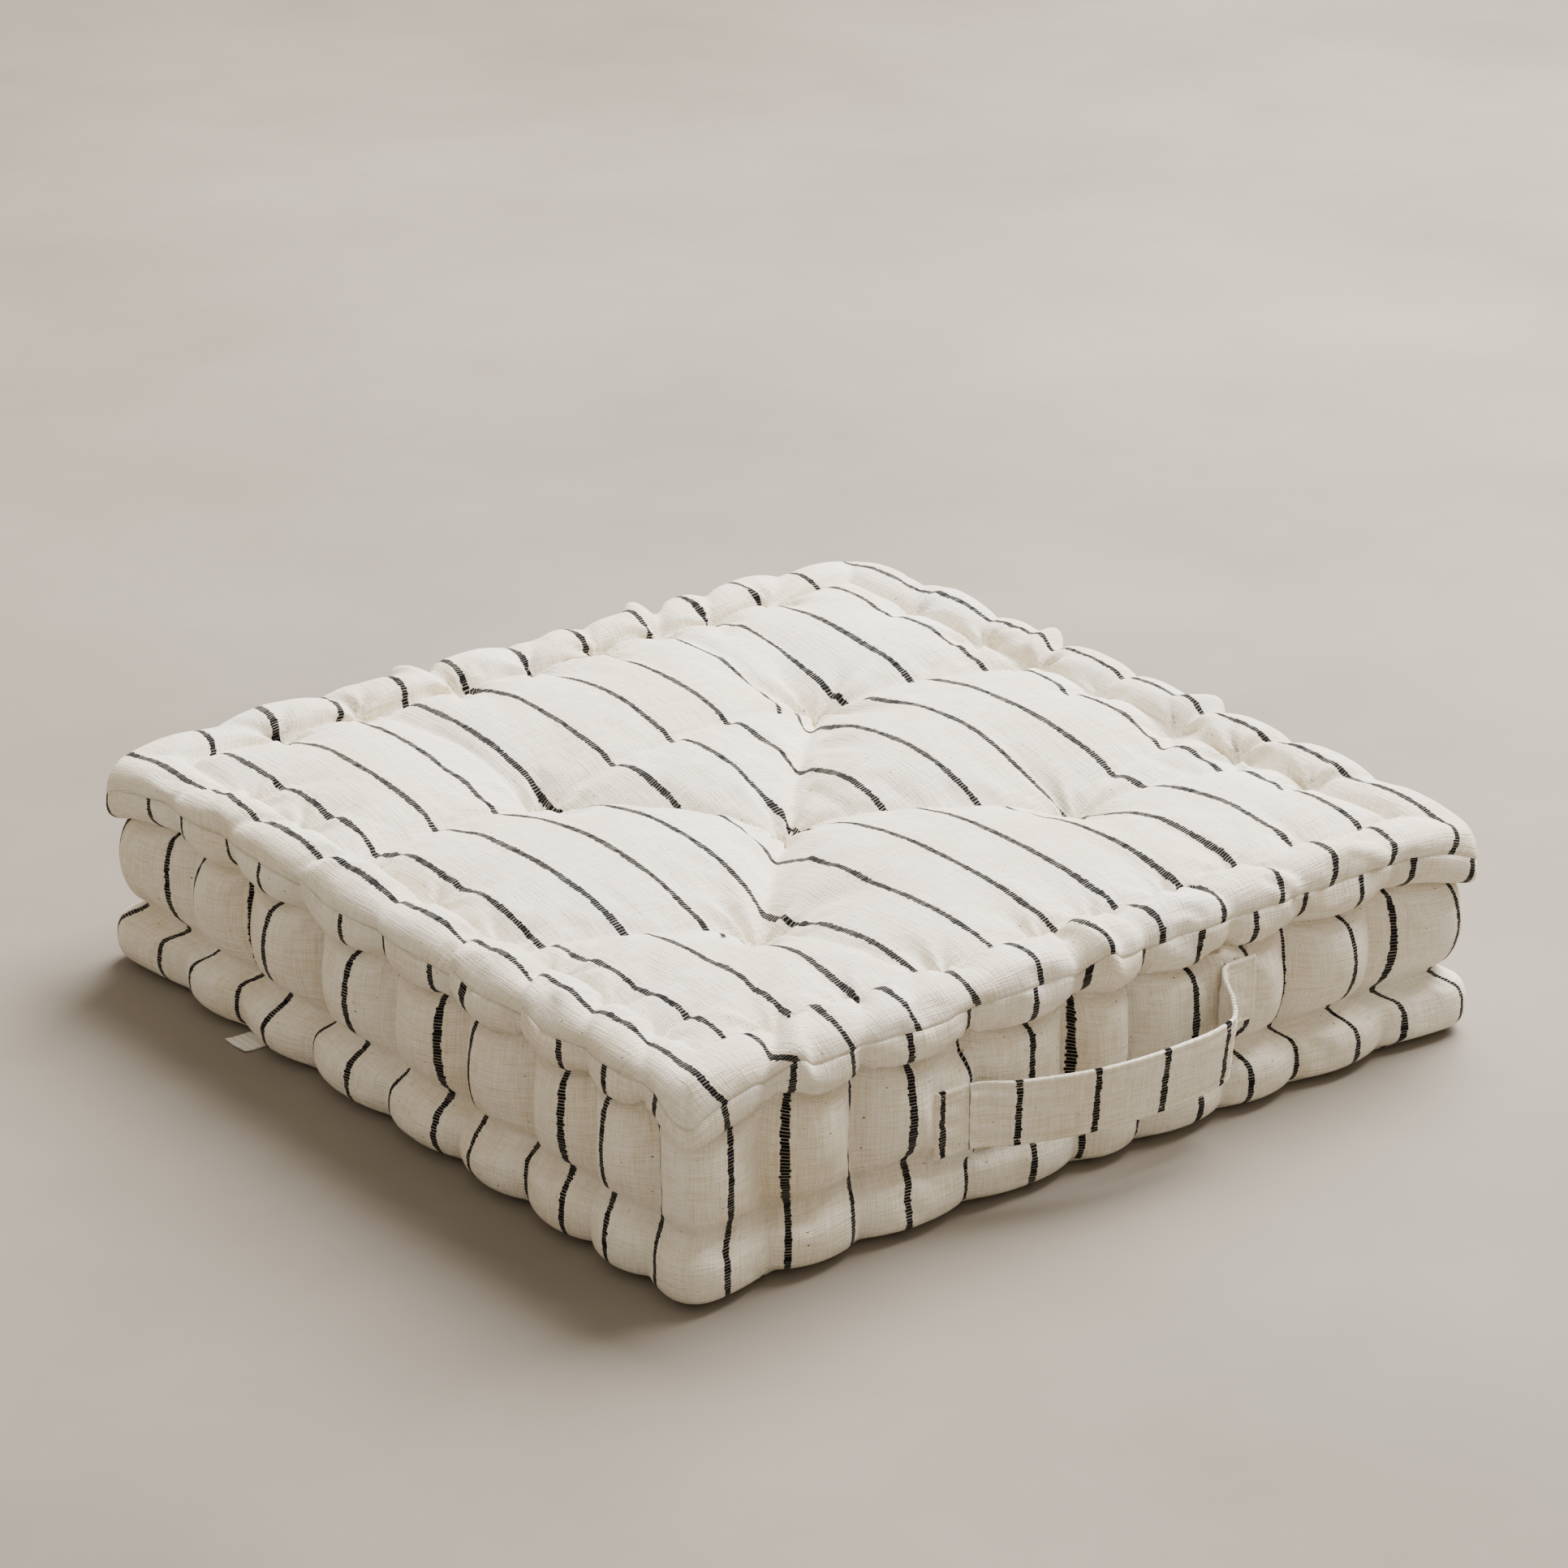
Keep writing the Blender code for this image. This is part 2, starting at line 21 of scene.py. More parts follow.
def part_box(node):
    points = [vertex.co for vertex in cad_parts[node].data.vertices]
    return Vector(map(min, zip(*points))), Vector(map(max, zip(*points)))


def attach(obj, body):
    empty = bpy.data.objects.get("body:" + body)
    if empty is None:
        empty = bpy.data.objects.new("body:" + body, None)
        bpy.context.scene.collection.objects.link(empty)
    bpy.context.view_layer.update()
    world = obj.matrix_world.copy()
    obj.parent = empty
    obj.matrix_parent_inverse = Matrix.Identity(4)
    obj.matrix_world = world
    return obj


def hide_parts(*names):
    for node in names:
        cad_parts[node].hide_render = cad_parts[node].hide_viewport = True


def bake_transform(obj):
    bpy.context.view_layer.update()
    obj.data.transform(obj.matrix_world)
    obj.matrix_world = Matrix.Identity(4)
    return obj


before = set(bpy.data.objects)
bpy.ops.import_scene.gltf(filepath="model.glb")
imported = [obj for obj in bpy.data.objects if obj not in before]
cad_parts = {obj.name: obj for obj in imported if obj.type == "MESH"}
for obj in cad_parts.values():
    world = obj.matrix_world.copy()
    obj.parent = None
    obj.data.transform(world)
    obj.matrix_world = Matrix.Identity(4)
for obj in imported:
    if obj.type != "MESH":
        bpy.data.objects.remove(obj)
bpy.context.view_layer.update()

MM = 0.001
LOG = logging.getLogger("cushion")


class Side(Enum):
    """The four sides in the order in which the perimeter runs, the handle's side first."""

    FRONT = 0
    RIGHT = 1
    BACK = 2
    LEFT = 3


class Cloth(Enum):
    """The four cut pieces of the cover, each named after the node that it stands for."""

    TOP = "top_panel"
    FRONT_WALL = "boxing_front_left"
    BACK_WALL = "boxing_back_right"
    BOTTOM = "bottom_panel"


# ------------------------------------------------------------ helpers


def linear(hex_colour: str) -> tuple[float, float, float, float]:
    """Turn an sRGB hex colour into linear RGBA."""
    channels = [int(hex_colour[k : k + 2], 16) / 255 for k in (1, 3, 5)]
    lit = [c / 12.92 if c <= 0.04045 else ((c + 0.055) / 1.055) ** 2.4 for c in channels]
    return lit[0], lit[1], lit[2], 1.0


def add_node(tree: bpy.types.NodeTree, kind: str, *values, **named) -> bpy.types.NodeOutputs:
    """Add a shader node with its settings and links.

    Args:
        tree: The node tree to add to.
        kind: The node's type, without the ShaderNode in front.
        values: Inputs in the order of the node's sockets; a socket links and a value sets.
        named: Settings in lower case; inputs with a capital and _ for a space, or by number as in n6.

    Returns:
        The new node's outputs.
    """
    node = tree.nodes.new("ShaderNode" + kind)
    inputs = dict(enumerate(values))
    for name, value in named.items():
        if name[0] == "n" and name[1:].isdigit():
            inputs[int(name[1:])] = value
        elif name[0].isupper():
            inputs[name.replace("_", " ")] = value
        else:
            setattr(node, name, value)
    for key, value in inputs.items():
        if isinstance(value, bpy.types.NodeSocket):
            tree.links.new(value, node.inputs[key])
        else:
            node.inputs[key].default_value = value
    return node.outputs


def start_material(name: str) -> tuple[bpy.types.Material, partial]:
    """A new material, and the function that adds a node to its tree."""
    made = bpy.data.materials.new(name)
    made.use_nodes = True
    return made, partial(add_node, made.node_tree)


def finish_material(made: bpy.types.Material, colour, relief: tuple | None = None, **constants) -> None:
    """Link a material's colour and relief to its shader and set the shader's constants.

    Args:
        made: The material.
        colour: The socket of its base colour.
        relief: Socket, strength and depth in metres of its bump, if it has one.
        constants: Values of the shader's inputs, with _ for a space.
    """
    tree = made.node_tree
    shader = tree.nodes["Principled BSDF"]
    tree.links.new(colour, shader.inputs["Base Color"])
    if relief:
        height, strength, depth = relief
        bump = add_node(tree, "Bump", Strength=strength, Distance=depth, Height=height)
        tree.links.new(bump["Normal"], shader.inputs["Normal"])
    for name, value in constants.items():
        shader.inputs[name.replace("_", " ")].default_value = value


def hand_over(piece: bpy.types.Object, material: bpy.types.Material, slot: str, *nodes: str) -> None:
    """Give a finished piece its material, and hide the nodes that it replaces."""
    piece.data.materials.append(material)
    if nodes:
        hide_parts(*nodes)


def deselect_all() -> None:
    """Leave nothing selected, so that an operator acts only on what comes next."""
    if bpy.context.object and bpy.context.object.mode != "OBJECT":
        bpy.ops.object.mode_set(mode="OBJECT")
    bpy.ops.object.select_all(action="DESELECT")


def make_active(piece: bpy.types.Object) -> None:
    """Select one object alone and make it the active one."""
    deselect_all()
    piece.select_set(True)
    bpy.context.view_layer.objects.active = piece


def apply_modifier(piece: bpy.types.Object, kind: str, **settings) -> None:
    """Add a modifier with its settings and apply it at once."""
    modifier = piece.modifiers.new(kind.lower(), kind)
    for name, value in settings.items():
        setattr(modifier, name, value)
    make_active(piece)
    bpy.ops.object.modifier_apply(modifier=modifier.name)


def subdivide_smooth(piece: bpy.types.Object, levels: int) -> None:
    """Refine a mesh with a Subdivision Surface and apply it."""
    apply_modifier(piece, "SUBSURF", levels=levels, render_levels=levels)


def place_in_mesh(piece: bpy.types.Object) -> None:
    """Move an object's place, turn and scale into its mesh."""
    make_active(piece)
    bpy.ops.object.transform_apply(location=True, rotation=True, scale=True)


def mesh_object(
    name: str, points: np.ndarray, faces: list, uv: np.ndarray | None = None
) -> bpy.types.Object:
    """Make an object from points and faces.

    Args:
        name: The object's name.
        points: One row of x, y, z for each vertex.
        faces: Vertex numbers of each face.
        uv: One row of u, v in metres for each face corner, in the faces' order.

    Returns:
        The new object, at the origin.
    """
    mesh = bpy.data.meshes.new(name)
    mesh.from_pydata(np.asarray(points).tolist(), [], faces)
    if uv is not None:
        mesh.uv_layers.new(name="cloth").data.foreach_set("uv", np.asarray(uv, float).ravel())
    piece = bpy.data.objects.new(name, mesh)
    bpy.context.collection.objects.link(piece)
    return piece


def points_of(piece: bpy.types.Object) -> np.ndarray:
    """The vertices of a mesh object, one row each."""
    flat = np.empty(len(piece.data.vertices) * 3)
    piece.data.vertices.foreach_get("co", flat)
    return flat.reshape(-1, 3)


def set_points(piece: bpy.types.Object, points: np.ndarray) -> None:
    """Move the vertices of a mesh object."""
    piece.data.vertices.foreach_set("co", np.asarray(points, float).ravel())
    piece.data.update()


def normals_of(piece: bpy.types.Object) -> np.ndarray:
    """The vertex normals of a mesh object, one row each."""
    flat = np.empty(len(piece.data.vertices) * 3)
    piece.data.vertex_normals.foreach_get("vector", flat)
    return flat.reshape(-1, 3)


def grid_faces(grid: np.ndarray) -> np.ndarray:
    """The four vertex numbers of each cell of a grid of vertex numbers."""
    return np.stack([grid[:-1, :-1], grid[1:, :-1], grid[1:, 1:], grid[:-1, 1:]], -1).reshape(-1, 4)


def wander(places: np.ndarray, wavelength: float, rng: np.random.Generator, waves: int = 5) -> np.ndarray:
    """A smooth random curve from -1 to 1.

    Args:
        places: Distances along the curve.
        wavelength: The longest wave.
        rng: The seeded source of its phases.
        waves: How many waves are added, each shorter than the last.

    Returns:
        One value for each place.
    """
    total = np.zeros(len(places))
    for k in range(1, waves + 1):
        total += np.sin(2 * pi * places * k / wavelength + rng.uniform(0, 2 * pi)) / k
    return total / np.abs(total).max()


# ------------------------------------------------------------ finishes


@dataclass(frozen=True)
class StripedCotton:
    """Unbleached handloom cotton canvas, plain woven, with thin broken stripes of dyed yarn.

    Uneven hand-spun yarn gives it a soft grain both ways, small slubs and specks of seed husk.
    """

    slot: str = "striped_cotton"
    cream: str = "#F5F0E5"
    warm: str = "#DDCFB2"
    dye: str = "#06080F"
    husk: str = "#7A6448"
    roughness: float = 0.92
    stripe_pitch: float = 39.3 * MM
    stripe_phase: float = -2.0 * MM
    stripe_drift: float = 1.6 * MM
    stripe_thin: float = 1.6 * MM
    stripe_thick: float = 2.1 * MM
    dash: float = 1.5 * MM
    stripe_wave: float = 1.2 * MM
    yarn: float = 0.75 * MM
    relief: float = 0.5 * MM
    slub_width: float = 1.65 * MM
    slub_length: float = 14 * MM
    husk_spacing: float = 11 * MM

    def build(self, name: str) -> bpy.types.Material:
        """Make the material on the piece's own flat pattern, u across the stripes and v along them."""
        made, node = start_material(name)
        pattern = node("UVMap", uv_map="cloth")["UV"]
        grain = self.grain(node, pattern)
        ground = self.ground(node, pattern, grain)
        dyed = node("Mix", self.stripes(node, pattern), n6=ground, n7=linear(self.dye), data_type="RGBA")[2]
        finish_material(
            made,
            dyed,
            relief=(grain, 1.0, self.relief),
            Roughness=self.roughness,
            Specular_IOR_Level=0.1,
            Sheen_Weight=0.04,
            Sheen_Roughness=0.5,
        )
        return made

    def uneven(self, node: partial, pattern, across: float, along: float) -> bpy.types.NodeSocket:
        """A soft random value over the cloth, with its two grain sizes in metres."""
        scaled = node("Mapping", pattern, Scale=(1 / across, 1 / along, 1))[0]
        return node("TexNoise", noise_dimensions="2D", Vector=scaled, Scale=1.0, Detail=2.0)["Fac"]

    def grain(self, node: partial, pattern) -> bpy.types.NodeSocket:
        """Height of the weave: uneven yarns both ways, slubs, and the over and under of a plain weave.

        The yarns are 0.75 mm apart, which is about the finest that still shows from two metres.
        """
        warp = self.uneven(node, pattern, self.yarn, self.slub_length)
        weft = self.uneven(node, pattern, self.slub_length, self.yarn)
        u, v, _ = node("SeparateXYZ", pattern)
        over = node("Math", node("Math", u, pi / self.yarn, operation="MULTIPLY")[0], operation="SINE")[0]
        under = node("Math", node("Math", v, pi / self.yarn, operation="MULTIPLY")[0], operation="SINE")[0]
        cross = node("Math", over, under, operation="MULTIPLY")[0]
        slubs = self.uneven(node, pattern, self.slub_width, 2 * self.slub_length)
        knots = self.uneven(node, pattern, 2 * self.slub_length, self.slub_width)
        coarse = node("Math", node("Math", slubs, knots, operation="ADD")[0], 0.7, operation="MULTIPLY")[0]
        yarns = node("Math", node("Math", warp, weft, operation="ADD")[0], coarse, operation="ADD")[0]
        return node("Math", cross, 0.2, yarns, operation="MULTIPLY_ADD")[0]

    def ground(self, node: partial, pattern, grain) -> bpy.types.NodeSocket:
        """Colour of the undyed cloth: cream yarns of slightly different tone, with husk specks."""
        cloudy = self.uneven(node, pattern, 60 * MM, 90 * MM)
        woven = node("Math", grain, 0.4, operation="MULTIPLY")[0]
        tone = node("Math", cloudy, 0.35, woven, operation="MULTIPLY_ADD")[0]
        share = node("MapRange", tone, 0.62, 0.98)[0]
        cloth = node("Mix", share, n6=linear(self.warm), n7=linear(self.cream), data_type="RGBA")[2]
        spacing = (1 / self.husk_spacing, 1.6 / self.husk_spacing, 1)
        scaled = node("Mapping", pattern, Scale=spacing)[0]
        cells = node("TexVoronoi", voronoi_dimensions="2D", Vector=scaled, Scale=1.0)
        pick = node("SeparateColor", cells["Color"])
        size = node("MapRange", pick[0], 0.5, 1.0, 0.0, 0.065)[0]
        speck = node("Math", cells["Distance"], size, operation="LESS_THAN")[0]
        strength = node("MapRange", pick[1], 0.0, 1.0, 0.3, 0.9)[0]
        faint = node("Math", speck, strength, operation="MULTIPLY")[0]
        return node("Mix", faint, n6=cloth, n7=linear(self.husk), data_type="RGBA")[2]

    def stripes(self, node: partial, pattern) -> bpy.types.NodeSocket:
        """Where the dyed yarn shows: each stripe has its own width and drift and is made of dashes."""
        u, v, _ = node("SeparateXYZ", pattern)
        slow = self.uneven(node, pattern, 1.0, 45 * MM)
        moved = node("Math", slow, 2 * self.stripe_wave, u, operation="MULTIPLY_ADD")[0]
        centred = node("Math", moved, self.stripe_phase + self.stripe_wave, operation="SUBTRACT")[0]
        turns = node("Math", centred, self.stripe_pitch, operation="DIVIDE")[0]
        number = node("Math", turns, operation="ROUND")[0]
        part = node("Math", turns, number, operation="SUBTRACT")[0]
        beside = node("Math", part, self.stripe_pitch, operation="MULTIPLY")[0]
        pick = node("SeparateColor", node("TexWhiteNoise", noise_dimensions="1D", W=number)["Color"])
        drift = node("MapRange", pick[0], 0.0, 1.0, -self.stripe_drift, self.stripe_drift)[0]
        half = node("MapRange", pick[1], 0.0, 1.0, self.stripe_thin, self.stripe_thick)[0]
        swell = node("MapRange", self.uneven(node, pattern, 1.0, 22 * MM), 0.3, 0.7, 0.85, 1.2)[0]
        rows = node("Math", v, self.dash, operation="DIVIDE")[0]
        row = node("CombineXYZ", node("Math", rows, operation="FLOOR")[0], number)[0]
        toss = node("SeparateColor", node("TexWhiteNoise", noise_dimensions="2D", Vector=row)["Color"])
        throw = node("MapRange", toss[0], 0.0, 1.0, 0.82, 1.1)[0]
        for factor in (swell, throw):
            half = node("Math", half, factor, operation="MULTIPLY")[0]
        shift = node("MapRange", toss[1], 0.0, 1.0, -0.25 * MM, 0.25 * MM)[0]
        centre = node("Math", drift, shift, operation="ADD")[0]
        away = node("Math", node("Math", beside, centre, operation="SUBTRACT")[0], operation="ABSOLUTE")[0]
        outside = node("Math", away, half, operation="SUBTRACT")[0]
        inside = node("MapRange", outside, 0.2 * MM, -0.2 * MM)[0]
        within = node("Math", node("Math", rows, operation="FRACT")[0], 0.5, operation="SUBTRACT")[0]
        gap = node("MapRange", node("Math", within, operation="ABSOLUTE")[0], 0.33, 0.46)[0]
        open_share = node("MapRange", toss[2], 0.0, 1.0, 0.0, 0.9)[0]
        bite = node("Math", gap, open_share, operation="MULTIPLY")[0]
        pale = node("Math", bite, 0.6, operation="MULTIPLY")[0]
        solid = node("Math", 1.0, pale, operation="SUBTRACT")[0]
        return node("Math", inside, solid, operation="MULTIPLY")[0]


@dataclass(frozen=True)
class Twine:
    """Waxed cotton twine: a warm cream two-ply cord, slightly shiny, twisted about once every 2 mm."""

    slot: str = "waxed_twine"
    light: str = "#E9DFC6"
    dark: str = "#C9B88F"
    roughness: float = 0.55
    lay: float = 1.2 * MM

    def build(self, name: str) -> bpy.types.Material:
        """Make the material; its plies run slantwise over the thread."""
        made, node = start_material(name)
        place = node("TexCoord")["Object"]
        size = 1 / (self.lay * 20)
        plies = node(
            "TexWave", bands_direction="DIAGONAL", Vector=place, Scale=size, Distortion=2.0, Detail=2.0
        )["Fac"]
        colour = node("Mix", plies, n6=linear(self.dark), n7=linear(self.light), data_type="RGBA")[2]
        finish_material(made, colour, relief=(plies, 0.4, 0.2 * MM), Roughness=self.roughness)
        return made


@dataclass(frozen=True)
class LabelTape:
    """Woven polyester label tape: white, smooth and a little lustrous, ribbed finely across."""

    slot: str = "label_tape"
    white: str = "#F4F3EF"
    grey: str = "#DEDCD5"
    roughness: float = 0.45
    rib: float = 0.6 * MM

    def build(self, name: str) -> bpy.types.Material:
        """Make the material; its ribs run along Y."""
        made, node = start_material(name)
        place = node("TexCoord")["Object"]
        size = 1 / (self.rib * 20)
        ribs = node("TexWave", bands_direction="X", Vector=place, Scale=size, Distortion=0.6)["Fac"]
        colour = node("Mix", ribs, n6=linear(self.grey), n7=linear(self.white), data_type="RGBA")[2]
        relief = (ribs, 0.3, 0.1 * MM)
        finish_material(made, colour, relief, Roughness=self.roughness, Sheen_Weight=0.2)
        return made


@dataclass(frozen=True)
class PaleFloor:
    """Trowelled microcement: pale, matt and faintly clouded."""

    light: str = "#8C857B"
    dark: str = "#7A736A"
    roughness: float = 0.7

    def build(self, name: str) -> bpy.types.Material:
        """Make the material; its clouds are half a metre wide."""
        made, node = start_material(name)
        place = node("TexCoord")["Object"]
        clouds = node("TexNoise", Vector=place, Scale=2.2, Detail=8.0, Roughness=0.6)["Fac"]
        share = node("MapRange", clouds, 0.3, 0.7)[0]
        colour = node("Mix", share, n6=linear(self.dark), n7=linear(self.light), data_type="RGBA")[2]
        finish_material(made, colour, Roughness=self.roughness, Specular_IOR_Level=0.2)
        return made


# ------------------------------------------------------------ cover


@dataclass(frozen=True)
class Station:
    """One line of the cover's section.

    It has an inset and a height, how far a full pinch pulls it in and up, how sharp its corners are,
    and how much of the corner's droop it takes.
    """

    inset: float
    z: float
    pull_in: float = 0.0
    pull_up: float = 0.0
    corner: float = 20 * MM
    droop: float = 0.0


@dataclass(frozen=True)
class Tuft:
    """One tuft: its place from the cushion's middle as tied by hand, and how deep it pulls the top in."""

    tie: str
    x: float
    y: float
    depth: float


@dataclass
class Cover:
    """The sewn cover: flat cloth gathered into rolls, pulled in by tufts and swollen by its fill."""

    cells: int = 116
    roll: float = 35 * MM
    bottom_roll: float = 31 * MM
    ear_corner: float = 9 * MM
    roll_corner: float = 16 * MM
    wall_corner: float = 27 * MM
    ear_droop: float = 12 * MM
    ear_reach: float = 20 * MM
    mitre_fold: float = 2.2 * MM
    groove_inset: float = 14 * MM
    foot_groove: float = 3 * MM
    wall_inset: float = 1 * MM
    wall_dip: float = 21 * MM
    seam_angle: float = radians(172)
    squareness: float = 0.78
    roll_steps: int = 12
    wall_steps: int = 12
    under_steps: int = 4
    crown_gap: float = 4.5 * MM
    crown_rise: float = 21 * MM
    groove_drop: float = 10.5 * MM
    pinch_drop: float = 8 * MM
    tuft_spread: float = 23 * MM
    valley_spread: float = 14 * MM
    gather: float = 5.5 * MM
    boxing_phase: float = 14 * MM
    patch_ease: float = 9 * MM
    canvas: float = 0.8 * MM
    seam_depth: float = 1.0 * MM
    swell_limit: float = 7 * MM
    swell_frames: int = 16
    pinches: dict[Side, tuple[float, ...]] = field(
        default_factory=lambda: {
            Side.FRONT: (-200, -148, -84, -15, 24, 80, 131, 188),
            Side.RIGHT: (-182, -120, -63, 5, 65, 119, 184),
            Side.BACK: (-190, -138, -97, -50, 2, 56, 127, 185),
            Side.LEFT: (-182, -130, -66, 4, 66, 122, 172, 214),
        }
    )
    hard_pinches: dict[Side, tuple[float, ...]] = field(
        default_factory=lambda: {
            Side.FRONT: (-200, -15),
            Side.RIGHT: (-63, 65),
            Side.BACK: (-97, 56),
            Side.LEFT: (-66, 66, 122),
        }
    )
    tufts: tuple[Tuft, ...] = (
        Tuft("tuft_tie_centre", -10 * MM, -15 * MM, 30 * MM),
        Tuft("tuft_tie_front_left", -100 * MM, -110 * MM, 31 * MM),
        Tuft("tuft_tie_front_right", 118 * MM, -88 * MM, 28 * MM),
        Tuft("tuft_tie_back_left", -90 * MM, 82 * MM, 30 * MM),
        Tuft("tuft_tie_back_right", 100 * MM, 100 * MM, 30 * MM),
    )

    def __post_init__(self) -> None:
        """Take the cushion's place and size from the frame."""
        low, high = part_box(Cloth.TOP.value)
        self.middle = Vector(((low[0] + high[0]) / 2, (low[1] + high[1]) / 2, 0))
        self.half = (high[0] - low[0]) / 2
        self.height = high[2]
        self.count = 4 * self.cells
        self.rng = np.random.default_rng(12)
        self.groove_half = self.half - self.roll

    # ------------------------------------------------------------ section

    def roll_arc(self, start: float, end: float, steps: int, squeeze: float = 0.3) -> list[Station]:
        """Stations round the top roll between two angles; 0 is its inner side and 90 degrees its top."""
        radius = self.roll / 2
        middle_z = self.height - radius
        arc = []
        for k in range(steps + 1):
            angle = start + (end - start) * k / steps
            across, up = self.on_roll(angle)
            inset, z = radius * (1 + across), middle_z + radius * up
            seam = exp(-(((angle - self.seam_angle) / radians(75)) ** 2))
            corner = self.roll_corner + (self.ear_corner - self.roll_corner) * seam
            pull_in, pull_up = squeeze * (radius - inset), squeeze * (middle_z - z)
            arc.append(Station(inset, z, pull_in, pull_up, corner, seam))
        return arc

    def on_roll(self, angle: float) -> tuple[float, float]:
        """A place on a roll's rather square section of radius 1."""
        return tuple(math.copysign(abs(part) ** self.squareness, part) for part in (cos(angle), sin(angle)))

    def top_stations(self) -> list[Station]:
        """Down the top panel from beside the groove, over the roll, to its seam."""
        return self.roll_arc(radians(8), self.seam_angle, self.roll_steps)[1:]

    def wall_stations(self) -> list[Station]:
        """Down the boxing: the roll's underside, upper groove, wall, lower groove and lower roll."""
        under = self.roll_arc(self.seam_angle, radians(248), 5, 0.42)[1:]
        groove_top = self.height - self.roll + 1 * MM
        groove_low = self.bottom_roll + 3 * MM
        wall = []
        for k in range(self.wall_steps + 1):
            share = k / self.wall_steps
            bow = sin(pi * share) ** 0.45
            groove = self.groove_inset + self.foot_groove * share
            inset = groove + (self.wall_inset - groove) * bow
            z = groove_top + (groove_low - groove_top) * share
            pull_in, pull_up = self.wall_dip * (0.3 + 0.7 * bow), 5 * MM * cos(pi * share)
            wall.append(Station(inset, z, pull_in, pull_up, self.wall_corner))
        radius = self.bottom_roll / 2
        lower = []
        for k in range(8):
            angle = radians(120 + (235 - 120) * (k + 0.5) / 7.5)
            across, up = self.on_roll(angle)
            inset, z = radius * (1 - abs(across)), radius * (1 + up)
            lower.append(Station(inset, z, 0.55 * radius * (1 - inset / (2 * radius)), 0.1 * (radius - z)))
        return under + wall + lower

    def under_stations(self) -> list[Station]:
        """From the bottom seam under the lower roll to the flat of the bottom panel."""
        radius = self.bottom_roll / 2
        last = [Station(radius * 0.8, 0.6 * MM, 2 * MM)]
        for k in range(self.under_steps):
            share = (k + 1) / self.under_steps
            inset = radius + (self.roll - radius) * share
            last.append(Station(inset, 5 * MM * share**2))
        return last

    # ------------------------------------------------------------ perimeter and pinches

    def side_places(self) -> tuple[np.ndarray, np.ndarray]:
        """Side number and place along the side, from -1 to 1, of each point of a loop."""
        share = np.linspace(-1, 1, self.cells + 1)[:-1]
        return np.repeat(np.arange(4), self.cells), np.tile(share, 4)

    def square_loop(self, half: float) -> np.ndarray:
        """A loop of points on a square without round corners."""
        side, share = self.side_places()
        along, edge = share * half, np.full(self.count, half)
        x = np.choose(side, [along, edge, -along, -edge])
        y = np.choose(side, [-edge, along, edge, -along])
        return np.c_[x, y]

    def loop(self, inset: np.ndarray, z: np.ndarray, corner: float) -> np.ndarray:
        """One loop of points round the cushion, with round corners and its own inset at each point."""
        base = float(np.mean(inset))
        flat = self.square_loop(self.half - base)
        radius = max(corner - base, 2 * MM)
        core = self.half - base - radius
        near = np.clip(flat, -core, core)
        away = flat - near
        length = np.linalg.norm(away, axis=1, keepdims=True)
        out = away / np.maximum(length, 1e-9)
        return np.c_[near + out * (radius - (inset - base))[:, None], z]

    def pinch_strengths(self) -> np.ndarray:
        """How hard the cloth is gathered round the perimeter: 1 at a hard pinch, 0 in mid-bulge."""
        side, share = self.side_places()
        run = (side + (share + 1) / 2) * 2 * self.half
        total = 8 * self.half
        places, strengths = [], []
        for each, marks in self.pinches.items():
            for mark in marks:
                exact = (each.value + (mark * MM / self.half + 1) / 2) * 2 * self.half
                places.append(run[np.abs(run - exact).argmin()])
                strengths.append(1.0 if mark in self.hard_pinches[each] else 0.84)
        order = np.argsort(places)
        places, strengths = np.array(places)[order], np.array(strengths)[order]
        gap_after = (np.roll(places, -1) - places) % total
        gap_before = np.roll(gap_after, 1)
        pull = np.zeros(self.count)
        for place, strength, before, after in zip(places, strengths, gap_before, gap_after):
            away = (run - place + total / 2) % total - total / 2
            reach = np.where(away > 0, after, before) / 2
            near = np.clip(1 - np.abs(away) / reach, 0, 1)
            arch = 1 - np.sqrt(1 - near**2)
            pull = np.maximum(pull, strength * (0.45 * arch + 0.55 * near**2))
        self.run, self.pinch_places, self.pinch_hardness = run, places, strengths
        return pull

    def pleats(self, size: float) -> np.ndarray:
        """How far in the roll's seam is folded beside each hard pinch; negative where it stands out."""
        total = 8 * self.half
        fold = np.zeros(self.count)
        for place, strength in zip(self.pinch_places, self.pinch_hardness):
            if strength < 1:
                continue
            away = (self.run - place + total / 2) % total - total / 2
            fold -= size * np.exp(-(((away - 10 * MM) / (8 * MM)) ** 2))
            fold += 0.6 * size * np.exp(-(((away + 2 * MM) / (5 * MM)) ** 2))
        return fold

    def handle_patch(self, side: np.ndarray, x: np.ndarray, z: float) -> np.ndarray:
        """How flat the front wall lies at a height: 1 under the handle's sewn ends, 0 away from them."""
        flat = np.zeros(self.count)
        for name in ("handle_end_left", "handle_end_right"):
            low, high = Vector(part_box(name)[0]) - self.middle, Vector(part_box(name)[1]) - self.middle
            beyond = np.maximum(np.maximum(low.x - x, x - high.x), max(low.z - z, z - high.z))
            flat = np.maximum(flat, np.clip(1 - beyond / self.patch_ease, 0, 1))
        return np.where(side == Side.FRONT.value, flat**2 * (3 - 2 * flat), 0)

    # ------------------------------------------------------------ top and bottom

